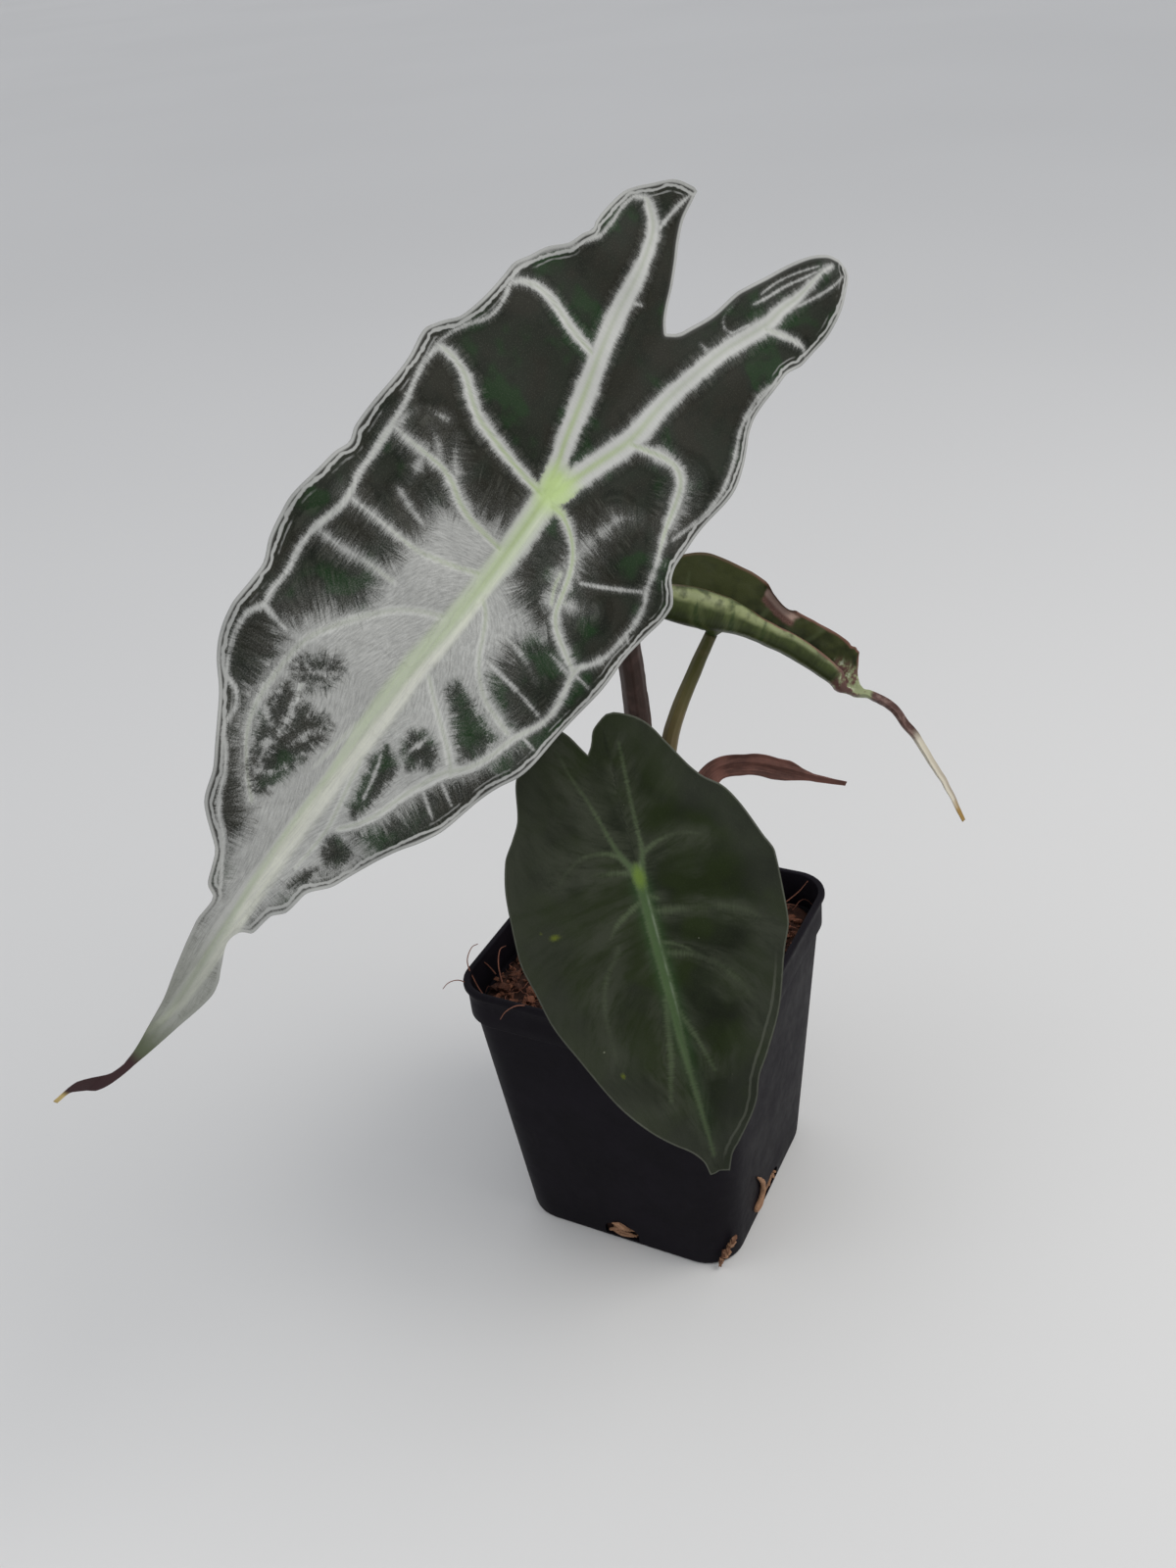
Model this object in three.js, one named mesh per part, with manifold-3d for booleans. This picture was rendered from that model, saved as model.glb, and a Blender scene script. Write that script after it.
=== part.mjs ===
// Potted venom alocasia: an arrow-leaved aroid in a square nursery pot. One large leaf has silver
// veins and a long drip tip, one young leaf is plain dark green, and one leaf is rolled lengthwise.
// Sizes are in millimetres, +Z is up, and the origin is the centre of the pot's underside, with X
// and Y parallel to the pot's sides.
import * as THREE from "three";
import { mergeVertices } from "three/addons/utils/BufferGeometryUtils.js";
import Module from "manifold-3d";

const wasm = await Module();
wasm.setup();
const { Vector3 } = THREE;
const { clamp, lerp, smoothstep, degToRad } = THREE.MathUtils;

// Clearance between neighbouring pieces.
const GAP = 0.3;

// The pot: a tapered square tub with a collar, a lip and a drain slot at the foot of each side.
const POT_HEIGHT = 100;
const RIM_SIDE = 90;
const BASE_SIDE = 74;
const RIM_CORNER = 11;
const BASE_CORNER = 12;
const COLLAR_HEIGHT = 13;
const COLLAR_OUTSET = 1.1;
const LIP_HEIGHT = 2.4;
const LIP_OUTSET = 0.8;
const POT_WALL = 1.2;
const POT_FLOOR = 1.6;
const EDGE_ROUND = 0.6;
const SLOT_WIDTH = 12;
const SLOT_TOP = 8;

// The coco husk mix, filled to just under the rim.
const MIX_LEVEL = 91;
const MIX_RINGS = 11;
const CHIP_SIZE = 4.5;
const CHIP_RELIEF = 3;
const MIX_SIDE_STEPS = 6;
const CORNER_STEPS = 4;

// The short stem that the stalks grow from, as radius and height from its foot to its crown.
const CROWN_HEIGHT = 94;
const CROWN_PROFILE = [
  [6, 66], [9, 70], [10.4, 77], [10.4, 84], [9.8, 86], [10.4, 88], [9.9, 91], [10.3, 92.6], [9.4, CROWN_HEIGHT],
];

// Blades: their thickness, and how deep the ribs below are rooted in them.
const BLADE_THICKNESS = 0.9;
const RIB_ROOT = 0.45;

// The large leaf. Its margins and ribs are points (u, v): u runs along the midrib from the stalk's
// joint towards the drip tip, and v runs across, to the right as seen with the tip down.
const VENOM = {
  joint: new Vector3(9.9, -45.1, 261.9),
  along: new Vector3(-0.427, -0.674, -0.604).normalize(),
  across: new Vector3(0.566, 0.322, -0.759),
  sinus: -45.7,
  tip: 175,
  columns: 8,
  rowStep: 5.4,
  ribStep: 7,
  jointRadius: 4,
  jointDepth: 4.6,
  midrib: [
    [-45.7, 0.7], [0, -0.8], [20, -1.2], [50, -2.5], [90, -2.5], [110, -2], [120, -1.5], [130, 0], [140, 2],
    [150, 2.7], [160, 2.3], [165, 1], [168.8, -1.7], [171.5, -3.9], [175, -4.4],
  ],
  left: {
    outer: [
      [-75, -14.6], [-73.5, -18.1], [-71.8, -20.4], [-68.5, -22.8], [-65, -25.4], [-62.5, -26.8], [-59, -27.6],
      [-51.5, -28.5], [-49.8, -28.1], [-47.4, -29.3], [-43.9, -30.4], [-39.2, -33.9], [-35.7, -35.4],
      [-31.6, -37.3], [-27.5, -37.7], [-17.5, -39.2], [-14.4, -40], [-10.9, -42.4], [-6.8, -44.2], [0, -43.6],
      [12.5, -44.2], [18.4, -44], [22, -43], [25.5, -44.2], [30, -45], [38.4, -46.1], [43, -45.4],
      [47.7, -44.4], [53.8, -42.3], [62.3, -42.7], [65.8, -42.1], [70.5, -40.4], [74, -38.3], [79.3, -33.9],
      [84, -31], [88.7, -28.1], [92.8, -25.4], [99.8, -22.2], [102.2, -19.8], [104.5, -16.9], [107.2, -13.8],
      [110.2, -12.4], [114.2, -10.4], [115.7, -7.8], [117.6, -7.2], [121.3, -7.2], [124.5, -6.5],
      [134, -3.6], [142.7, -0.6], [149.6, 0.7], [157.6, 2.0], [162.4, 1.3], [164.5, 0.2], [166.7, -2.3],
      [168.8, -3.9], [175, -4.9],
    ],
    inner: [
      [-75, -13.4], [-72, -12.9], [-68.5, -12.2], [-64, -10], [-60, -7.5], [-55, -4.9], [-50, -2.6],
      [-47.5, -1], [-45.7, 0.7],
    ],
  },
  right: {
    outer: [
      [-90.4, 28.3], [-89.4, 29.7], [-85.5, 31.2], [-77.9, 33.3], [-73.2, 34], [-68.5, 33.5], [-64.4, 32.7],
      [-58, 29.6], [-50, 29], [-46.2, 29.3], [-42.1, 30.6], [-38.6, 32.4], [-34.5, 33.8], [-27.5, 34.8],
      [-18, 34], [-10.3, 33.5], [-4.5, 32.7], [-1.8, 33.3], [0.8, 35.9], [3.2, 37.7], [6.7, 38], [12.5, 37.1],
      [21.9, 34.8], [30.7, 34.1], [38.4, 33.5], [47.7, 31.8], [55.3, 30], [60.5, 27.7], [70.5, 25],
      [75.2, 23.3], [79.9, 20.6], [84.6, 17.7], [94.6, 13.9], [99.3, 11.8], [104.5, 7.7], [109.8, 7.1],
      [112.8, 5.2], [118.1, 4.7], [119.5, 2.6], [122.4, 1.8], [128.3, 4.1], [131.5, 5.7], [134.7, 6.4],
      [145.3, 5.2], [156.5, 3.8], [162.9, 2.9], [168.3, 1.1], [169.9, -1.2], [171.5, -3.3], [175, -3.9],
    ],
    inner: [
      [-90.4, 25.3], [-89.1, 22.4], [-87.3, 20.3], [-85, 18.3], [-80.9, 15.9], [-73.2, 12.4], [-68.5, 10.1],
      [-65, 8.6], [-57.4, 7.1], [-50.3, 4.2], [-47.7, 3], [-45.7, 0.7],
    ],
  },
  ribs: [
    { width: [5, 1.8], height: [2.2, 0.5], path: [[-3, -0.8], [20, -1.2], [50, -2.5], [90, -2.5], [120, -1.5], [140, 2]] },
    { width: [5, 2.4], height: [1.7, 0.4], path: [[1, -1.5], [-10, -5], [-20, -7.2], [-30, -10], [-50, -13], [-60, -15.7], [-67, -15.2]] },
    { width: [5, 2], height: [1.7, 0.4], path: [[1, 0], [-10, 3.6], [-20, 6.8], [-30, 8.5], [-40, 10.4], [-60, 17.3], [-80, 22.5]] },
    { width: [3.2, 1.8], height: [1, 0.3], path: [[-28, -10], [-29.5, -19.8], [-31.6, -28.1], [-29.8, -33.9]] },
    { width: [3.2, 1.8], height: [1, 0.3], path: [[1, -2.5], [2.6, -9.9], [1.1, -20.4], [-2.4, -28.1], [-7, -37]] },
    { width: [3.2, 1.8], height: [1, 0.3], path: [[17, -2.5], [18.4, -9.9], [14, -21.6], [13.7, -30.4], [13, -37]] },
    { width: [3.2, 1.8], height: [1, 0.3], path: [[29, -3], [36, -15], [40, -28], [40, -37]] },
    { width: [3, 1.8], height: [0.9, 0.3], path: [[48, -3.5], [56, -18], [60.5, -30.4], [66.4, -28.1], [81, -25.7], [94.6, -15.1]] },
    { width: [3.2, 1.8], height: [1, 0.3], path: [[-19, 7.5], [-22.5, 14.2], [-23, 19], [-19.1, 23.6], [-10.9, 25.3], [5.2, 30.3]] },
    { width: [3.2, 1.8], height: [1, 0.3], path: [[2.5, 1.5], [4.3, 6.6], [9.6, 11.3], [19.6, 14.2], [26, 19.5], [28.7, 26.5]] },
    { width: [3, 1.8], height: [1, 0.3], path: [[29, 0], [39.5, 4.8], [46.6, 13.6], [48.8, 23.6]] },
    { width: [3, 1.8], height: [0.9, 0.3], path: [[49, -0.5], [57, 8.3], [62.9, 16]] },
  ],
};

// The young leaf, in the same terms.
const YOUNG = {
  joint: new Vector3(32.5, -65.5, 174.4),
  along: new Vector3(0.307, -0.219, -0.926).normalize(),
  across: new Vector3(0.857, 0.486, 0.17),
  sinus: -29,
  tip: 79,
  columns: 7,
  rowStep: 4.6,
  ribStep: 7,
  jointRadius: 3,
  jointDepth: 4.4,
  midrib: [[-29, -5.1], [0, 0], [31, 0], [60, 0], [72, -0.4], [79, -0.2]],
  left: {
    outer: [
      [-36.6, -13.4], [-34.5, -17.6], [-31, -21.2], [-27.2, -23.8], [-18.9, -25.4], [-15.2, -27.5], [-10.8, -30.4],
      [-1.9, -32.3], [11.4, -32.7], [20.3, -31.2], [28.2, -29.7], [39, -25.1], [50.5, -19.9], [60.6, -13.3],
      [66.4, -9.1], [72.1, -4.7], [75.5, -3.1], [79, -2.6],
    ],
    inner: [[-36.6, -10.5], [-35.1, -9], [-33.6, -7.9], [-31.2, -6.5], [-29, -5.1]],
  },
  right: {
    outer: [
      [-37, 3.6], [-35.7, 6.9], [-32.8, 10.8], [-27.6, 14.3], [-18.1, 20.9], [-15.2, 24.7], [-11.5, 27.2],
      [-2.7, 31.1], [1.5, 32.8], [13.1, 32.3], [17.5, 31.9], [24.4, 29.2], [38.2, 24.5], [48, 18.9],
      [53.1, 15.7], [58.6, 13.8], [69.7, 7.2], [74.2, 4.2], [79, 2.4],
    ],
    inner: [[-37, 1.6], [-36.5, 0.6], [-34.1, -2.5], [-30.9, -3.8], [-29, -5.1]],
  },
  ribs: [
    { width: [3.6, 1.4], height: [1.5, 0.4], path: [[-2, 0], [31, 0], [60, 0], [74, -0.4]] },
    { width: [3, 1.4], height: [1.1, 0.3], path: [[1, -0.6], [-11.2, -5.3], [-24, -9.4], [-31, -12]] },
    { width: [3, 1.4], height: [1.1, 0.3], path: [[1, 0.8], [-7.4, 2.7], [-24, 2.7], [-32, 3]] },
    { width: [2.2, 1.4], height: [0.7, 0.2], path: [[-2.5, -1.6], [-6.8, -8.2], [-6.2, -13], [-2.8, -19.4]] },
    { width: [2.2, 1.4], height: [0.7, 0.2], path: [[6, -0.8], [11.8, -9], [24, -14]] },
    { width: [2.2, 1.4], height: [0.7, 0.2], path: [[-5, 2], [-7, 8.7], [-5.2, 17.3], [0, 24]] },
    { width: [2.2, 1.4], height: [0.7, 0.2], path: [[10.1, 0.5], [8, 9.4], [9.6, 19.8], [13.8, 27]] },
    { width: [2.2, 1.4], height: [0.7, 0.2], path: [[19, 0.8], [26, 10], [34, 19]] },
    { width: [2.2, 1.4], height: [0.7, 0.2], path: [[31, -0.8], [42, -10], [51, -14]] },
  ],
};

// The rolled leaf: its spine runs through the middle of the roll from the hidden lobes to the drip
// tip, u is measured along it from the stalk's joint, and v runs round the roll from the fold.
const ROLLED = {
  spine: [
    [-0.5, 13, 210], [9, 18.5, 204.7], [19, 24.5, 199.8], [28.5, 29.5, 194], [41.3, 34.8, 184.6],
    [51.8, 38.8, 175.6], [57.8, 43, 171.2], [64, 45.4, 166], [72, 45.8, 154.5], [79.8, 45.5, 142], [87, 43.8, 130],
  ],
  lobes: 25.1,
  sinus: -9,
  tip: 101.5,
  columns: 6,
  rowStep: 5,
  ribStep: 2.6,
  jointRadius: 2.2,
  jointDepth: 2.6,
  radius: [[-25, 5.2], [-4, 5.2], [4, 3.8], [12, 3], [40, 2.6], [48, 2.2], [60, 2], [102, 1.2]],
  flapTurn: degToRad(60),
  midrib: [[-9, 0], [102, 0]],
  left: {
    outer: [
      [-25, -8], [-23, -11], [-18, -14], [-8, -16], [0, -14.5], [6, -11.5], [12, -8.6], [27, -8], [38, -6.6],
      [43, -4], [47, -2.4], [60, -2.1], [85, -1.5], [101.5, -0.6],
    ],
    inner: [[-25, -5.6], [-20, -3], [-14, -1.4], [-9, 0]],
  },
  right: {
    outer: [
      [-25, 8], [-22, 13], [-14, 19], [-5, 21.5], [4, 18.5], [12, 15.5], [17, 13], [22, 12], [34, 12.5],
      [44, 12], [46.5, 8], [48, 4], [49.5, 2.4], [60, 2.1], [85, 1.5], [101.5, 0.6],
    ],
    inner: [[-25, 5.6], [-20, 3], [-14, 1.4], [-9, 0]],
  },
  ribs: [
    { width: [2.6, 1.2], height: [1, 0.3], path: [[-4, 0], [42, 0]] },
    { width: [1.6, 1.1], height: [0.5, 0.2], path: [[-3, -0.8], [-8, -7], [-10, -12]] },
    { width: [1.6, 1.1], height: [0.5, 0.2], path: [[5, -0.8], [3, -5], [1, -11]] },
    { width: [1.6, 1.1], height: [0.5, 0.2], path: [[-3, 0.8], [-9, 8], [-10, 13]] },
    { width: [1.6, 1.1], height: [0.5, 0.2], path: [[8, 0.8], [12, 6], [13, 10]] },
  ],
};

// The dried sheath that wrapped the stalks: a narrow curved strip that leans out and tapers.
const SHEATH = {
  spine: [
    [9, -1.5, 94.9], [11.2, 0.5, 112], [12.6, 5.5, 130], [13.6, 12.5, 142], [15.6, 18.5, 149], [20, 22.5, 150.8],
    [28, 26.7, 150], [36, 29.6, 147.6], [42.7, 32.6, 144.8], [51.3, 36.7, 141.9],
  ],
  face: new Vector3(0.5, -0.8, 0.3).normalize(),
  channelRadius: 6,
  halfWidth: [[0, 3.2], [20, 4.6], [45, 4.4], [60, 3.4], [72, 3], [86, 2.6], [93, 1.5], [98, 1], [112, 0.7]],
  columns: 2,
  rowStep: 5,
  thickness: 0.7,
};

// The stalks, from the crown to the joint of their leaf. The last two points, in line with the
// joint, are added from the leaf's own frame.
const STALK_LEAD = 12;
const STALKS = {
  venom: { points: [[-4.5, 1, 0], [-0.5, 1, 130], [3, -0.5, 180], [3.5, -11, 224]], radii: [4.3, 3.5, 2.7] },
  young: { points: [[2.5, -5.6, 0], [7, -13, 122], [15, -29, 150]], radii: [3, 2.6, 2] },
  rolled: { points: [[3.2, 5.2, 0], [4.5, 7.5, 130], [8, 9.5, 166]], radii: [3.5, 2.8, 1.8] },
};

const FINISHES = {
  pot: { color: 0x0c0b0d, roughness: 0.42 },
  potting_mix: { color: 0x4a2c20, roughness: 0.95 },
  rhizome: { color: 0x5b4030, roughness: 0.85 },
  petiole_venom: { color: 0x6a4440, roughness: 0.5 },
  leaf_venom: { color: 0x2c3830, roughness: 0.45 },
  petiole_young: { color: 0x5c6434, roughness: 0.5 },
  leaf_young: { color: 0x202b1c, roughness: 0.45 },
  petiole_curled: { color: 0x6d7436, roughness: 0.5 },
  leaf_curled: { color: 0x6f8638, roughness: 0.5 },
  dry_sheath: { color: 0x7a433a, roughness: 0.8 },
};

// The value at u of a list of points [u, value] in rising order of u, straight between them.
function at(list, u) {
  const next = list.findIndex(([start]) => start >= u);
  if (next === 0) return list[0][1];
  if (next < 0) return list[list.length - 1][1];
  const [[u0, v0], [u1, v1]] = [list[next - 1], list[next]];
  return lerp(v0, v1, (u - u0) / (u1 - u0));
}

// Evenly spaced values from start to end, both included, about step apart.
function spaced(start, end, step) {
  const count = Math.max(1, Math.round((end - start) / step));
  return Array.from({ length: count + 1 }, (_, i) => lerp(start, end, i / count));
}

// A repeatable draw between 0 and 1 for a cell of a grid.
function draw(i, j) {
  const value = Math.sin(i * 127.1 + j * 311.7) * 43758.5453;
  return value - Math.floor(value);
}

function geometryOf(points, faces) {
  const geometry = new THREE.BufferGeometry();
  const values = points.flatMap((p) => [p.x, p.y, p.z]);
  geometry.setAttribute("position", new THREE.Float32BufferAttribute(values, 3));
  geometry.setIndex(faces);
  return geometry;
}

function solidOf(geometry) {
  const bare = geometry.clone();
  bare.deleteAttribute("normal");
  bare.deleteAttribute("uv");
  const merged = mergeVertices(bare, 1e-4);
  return new wasm.Manifold(
    new wasm.Mesh({
      numProp: 3,
      vertProperties: merged.attributes.position.array,
      triVerts: new Uint32Array(merged.index.array),
    }),
  );
}

// The outer skin of a joined solid, which fills any small hollow that its pieces seal.
function geometryFrom(solid) {
  const skins = solid.decompose().sort((a, b) => b.volume() - a.volume());
  const mesh = skins[0].getMesh();
  const geometry = new THREE.BufferGeometry();
  geometry.setAttribute("position", new THREE.BufferAttribute(mesh.vertProperties, 3));
  geometry.setIndex(new THREE.BufferAttribute(mesh.triVerts, 1));
  return geometry;
}

// A closed solid through rings of equally many points, each ring counter-clockwise about the way
// the rings go, with both ends closed round their middle.
function loft(rings) {
  const count = rings[0].length;
  const points = rings.flat();
  const faces = [];
  for (let i = 0; i + 1 < rings.length; i++) {
    for (let j = 0; j < count; j++) {
      const a = i * count + j;
      const b = i * count + ((j + 1) % count);
      faces.push(a, b, b + count, a, b + count, a + count);
    }
  }
  const middle = (ring) => ring.reduce((sum, p) => sum.add(p), new Vector3()).divideScalar(count);
  const first = points.push(middle(rings[0])) - 1;
  const last = points.push(middle(rings[rings.length - 1])) - 1;
  const top = (rings.length - 1) * count;
  for (let j = 0; j < count; j++) {
    const k = (j + 1) % count;
    faces.push(first, k, j, last, top + j, top + k);
  }
  return geometryOf(points, faces);
}

function circle(centre, radius, height, count) {
  return Array.from({ length: count }, (_, i) => {
    const angle = (2 * Math.PI * i) / count;
    return new Vector3(centre[0] + radius * Math.cos(angle), centre[1] + radius * Math.sin(angle), height);
  });
}

// A square with rounded corners at one height, counter-clockwise from the foot of the +X side.
function squareRing(half, corner, height, sideSteps = 1) {
  const flat = half - corner;
  const ring = [];
  for (let side = 0; side < 4; side++) {
    const [c, s] = [[1, 0], [0, 1], [-1, 0], [0, -1]][side];
    const place = (x, y) => ring.push(new Vector3(c * x - s * y, s * x + c * y, height));
    for (let i = 0; i < sideSteps; i++) place(half, lerp(-flat, flat, i / sideSteps));
    for (let i = 0; i < CORNER_STEPS; i++) {
      const angle = (Math.PI / 2) * (i / CORNER_STEPS);
      place(flat + corner * Math.cos(angle), flat + corner * Math.sin(angle));
    }
  }
  return ring;
}

// Half the side and the corner radius of the pot's outer wall below the collar at a height.
function potWall(height) {
  const part = height / (POT_HEIGHT - COLLAR_HEIGHT);
  const top = RIM_SIDE / 2 - LIP_OUTSET - COLLAR_OUTSET;
  return [lerp(BASE_SIDE / 2, top, part), lerp(BASE_CORNER, RIM_CORNER, part)];
}

function pot() {
  const collar = POT_HEIGHT - COLLAR_HEIGHT;
  const lip = POT_HEIGHT - LIP_HEIGHT;
  const rim = RIM_SIDE / 2;
  const level = (height, half, corner) => squareRing(half, corner, height);
  const [baseHalf] = potWall(0);
  const [wallHalf] = potWall(collar);
  const [floorHalf] = potWall(POT_FLOOR);
  const collarHalf = wallHalf + COLLAR_OUTSET;
  const shell = loft([
    level(0, baseHalf - EDGE_ROUND, BASE_CORNER - EDGE_ROUND),
    level(EDGE_ROUND, baseHalf, BASE_CORNER),
    level(collar, wallHalf, RIM_CORNER),
    level(collar + EDGE_ROUND, collarHalf, RIM_CORNER),
    level(lip, collarHalf, RIM_CORNER),
    level(lip + EDGE_ROUND, rim, RIM_CORNER),
    level(POT_HEIGHT - EDGE_ROUND, rim, RIM_CORNER),
    level(POT_HEIGHT, rim - EDGE_ROUND, RIM_CORNER - EDGE_ROUND),
    level(POT_HEIGHT, collarHalf - POT_WALL + EDGE_ROUND, RIM_CORNER - POT_WALL + EDGE_ROUND),
    level(POT_HEIGHT - EDGE_ROUND, collarHalf - POT_WALL, RIM_CORNER - POT_WALL),
    level(collar + EDGE_ROUND, collarHalf - POT_WALL, RIM_CORNER - POT_WALL),
    level(collar - EDGE_ROUND, wallHalf - POT_WALL, RIM_CORNER - POT_WALL),
    level(POT_FLOOR, floorHalf - POT_WALL, BASE_CORNER - POT_WALL),
  ]);
  let solid = solidOf(shell);
  for (let side = 0; side < 4; side++) solid = solid.subtract(solidOf(slotPlug(side, 0, 2 * POT_WALL)));
  return geometryFrom(solid);
}

// A round-topped block as wide as a drain slot less a margin all round, that starts inside the
// pot's wall at the foot of one side and stands proud of it.
function slotPlug(side, margin, proud) {
  const half = SLOT_WIDTH / 2 - margin;
  const top = SLOT_TOP - margin;
  const shoulder = top - half / 2;
  const arch = new THREE.Shape();
  arch.moveTo(-half, POT_FLOOR + margin);
  arch.lineTo(half, POT_FLOOR + margin);
  arch.lineTo(half, shoulder);
  arch.quadraticCurveTo(half, top, 0, top);
  arch.quadraticCurveTo(-half, top, -half, shoulder);
  arch.closePath();
  const depth = 3 * POT_WALL + proud;
  const block = new THREE.ExtrudeGeometry(arch, { depth, bevelEnabled: false, curveSegments: 4 });
  block.rotateX(Math.PI / 2);
  block.translate(0, -(BASE_SIDE / 2 - 3 * POT_WALL), 0);
  block.rotateZ((Math.PI / 2) * side);
  return block;
}

// The mix fills the pot to MIX_LEVEL; chips stand out of its top, the crown's foot has a plain
// hole, and root ends fill the drain slots.
function pottingMix() {
  const inner = POT_WALL + GAP;
  const hole = Math.max(...CROWN_PROFILE.map(([radius]) => radius)) + GAP;
  const foot = CROWN_PROFILE[0][1] - GAP;
  const levelRing = (height) => {
    const [half, corner] = potWall(height);
    return squareRing(half - inner, corner - inner, height, MIX_SIDE_STEPS);
  };
  const edge = levelRing(MIX_LEVEL - CHIP_RELIEF);
  const round = circle([0, 0], hole, MIX_LEVEL, edge.length);
  const turned = round.map((_, i) => round[(i + edge.length - MIX_SIDE_STEPS / 2) % edge.length]);
  const top = spaced(0, 1, 1 / MIX_RINGS).map((part, i) =>
    edge.map((p, j) => {
      const q = p.clone().lerp(turned[j], part);
      const chip = draw(Math.floor(q.x / CHIP_SIZE), Math.floor(q.y / CHIP_SIZE)) - 0.5;
      q.z = i === 0 ? p.z : MIX_LEVEL + (i === MIX_RINGS ? 0 : CHIP_RELIEF * chip);
      return q;
    }),
  );
  const bottom = [levelRing(POT_FLOOR + GAP), ...[30, 60].map(levelRing)];
  const deep = turned.map((p) => new Vector3(p.x, p.y, foot));
  let solid = solidOf(loft([...bottom, ...top, deep]));
  for (let side = 0; side < 4; side++) solid = solid.add(solidOf(slotPlug(side, GAP, 0)));
  return geometryFrom(solid);
}

function rhizome() {
  return loft(CROWN_PROFILE.map(([radius, height]) => circle([0, 0], radius, height, 20)));
}

// The upper surface of a broad leaf at (u, v), sunk by depth along the leaf's own normal.
function broadLeaf(leaf, height) {
  const normal = leaf.along.clone().cross(leaf.across).normalize();
  const across = normal.clone().cross(leaf.along);
  const point = (u, v, depth = 0) =>
    leaf.joint
      .clone()
      .addScaledVector(leaf.along, u)
      .addScaledVector(across, v)
      .addScaledVector(normal, height(u, v) - depth);
  return { point, normal };
}

// How far out a point lies, from 0 on the midrib to 1 on the outer margin.
function outwards(leaf, u, v) {
  const middle = at(leaf.midrib, u);
  const side = v < middle ? leaf.left : leaf.right;
  return clamp(Math.abs(v - middle) / Math.max(Math.abs(at(side.outer, u) - middle), 0.5), 0, 1);
}

// The large leaf arches along its midrib, each half is a shallow dome, and its margin is waved.
function venomHeight(u, v) {
  const arch = u < 0 ? 0.253 * u : 12 - 12 * ((u - 95) / 95) ** 2;
  const part = Math.abs(v) / 52;
  const dome = (22 * part * (1 - part)) / (1 + 0.3 * part);
  const out = outwards(VENOM, u, v);
  const body = 1 - smoothstep(u, 100, 125);
  const wave = 1.3 * out ** 3 * Math.sin(u / 4.3 + (v < 0 ? 0 : 1.6)) * body;
  const quilt = 0.5 * Math.sin(Math.PI * out) * Math.cos(u / 3.4 + (v < 0 ? 2.2 : 0.4)) * body;
  return arch + dome + wave + quilt;
}

// The young leaf's lobes lean back, and its tip is folded along the midrib.
function youngHeight(u, v) {
  const arch = u < 0 ? 0.45 * u : 5 - 5 * ((u - 42) / 42) ** 2;
  const fold = 0.1 + 0.55 * smoothstep(u, 30, 80);
  const out = outwards(YOUNG, u, v);
  const quilt = 0.6 * Math.sin(Math.PI * out) * Math.cos(u / 2.6 + (v < 0 ? 1 : 0));
  const wave = 0.5 * out ** 3 * Math.sin(u / 4 + v / 20);
  return arch + fold * (Math.hypot(v, 2) - 2) + quilt + wave;
}

// The rolled leaf's section is an arc round the spine that leaves it, past flapTurn, as a flap.
function rolledLeaf(leaf) {
  const curve = new THREE.CatmullRomCurve3(leaf.spine.map((p) => new Vector3(...p)));
  const length = curve.getLength();
  const frame = (u) => {
    const part = clamp((u + leaf.lobes) / length, 0, 1);
    const along = curve.getTangentAt(part);
    const back = new Vector3(0, 0, 1).cross(along).normalize();
    return { centre: curve.getPointAt(part), along, back, up: along.clone().cross(back) };
  };
  const point = (u, v, depth = 0) => {
    const { centre, back, up } = frame(u);
    const radius = at(leaf.radius, u);
    const turn = Math.min(v / radius, leaf.flapTurn);
    const flap = Math.max(0, v - radius * leaf.flapTurn);
    const x = (radius + depth) * Math.sin(turn) + flap * Math.cos(turn);
    const y = -(radius + depth) * Math.cos(turn) + flap * Math.sin(turn);
    return centre.addScaledVector(back, x).addScaledVector(up, y);
  };
  return { point, normal: frame(0).up };
}

// A leaf's outline as a flat net of triangles: rows of constant u, each half with its own columns,
// joined along the midrib below the sinus.
function leafNet(leaf) {
  const places = [];
  const faces = [];
  const body = spaced(leaf.sinus, leaf.tip, leaf.rowStep);
  const midribStart = places.length;
  body.forEach((u) => places.push([u, at(leaf.midrib, u)]));
  for (const side of [leaf.left, leaf.right]) {
    const lobe = spaced(side.outer[0][0], leaf.sinus, leaf.rowStep).slice(0, -1);
    const rows = [...lobe, ...body].map((u, row) => {
      const inner = row < lobe.length ? at(side.inner, u) : at(leaf.midrib, u);
      const outer = at(side.outer, u);
      const ids = Array.from({ length: leaf.columns + 1 }, (_, column) => {
        if (column === 0 && row >= lobe.length) return midribStart + row - lobe.length;
        return places.push([u, lerp(inner, outer, column / leaf.columns)]) - 1;
      });
      return side === leaf.left ? ids.reverse() : ids;
    });
    for (let i = 0; i + 1 < rows.length; i++) {
      for (let j = 0; j < leaf.columns; j++) {
        const [a, b, c, d] = [rows[i][j], rows[i + 1][j], rows[i + 1][j + 1], rows[i][j + 1]];
        faces.push([a, b, c], [a, c, d]);
      }
    }
  }
  return { places, faces };
}

// A net given its thickness: the same triangles above and below, and a wall round the outline.
function thicken({ places, faces }, point, thickness) {
  const count = places.length;
  const points = [
    ...places.map(([u, v]) => point(u, v, 0)),
    ...places.map(([u, v]) => point(u, v, thickness)),
  ];
  const edges = new Map();
  const index = [];
  for (const [a, b, c] of faces) {
    index.push(a, b, c, a + count, c + count, b + count);
    for (const [p, q] of [[a, b], [b, c], [c, a]]) {
      if (!edges.delete(q + " " + p)) edges.set(p + " " + q, [p, q]);
    }
  }
  for (const [p, q] of edges.values()) index.push(q, p, p + count, q, p + count, q + count);
  return geometryOf(points, index);
}

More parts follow.
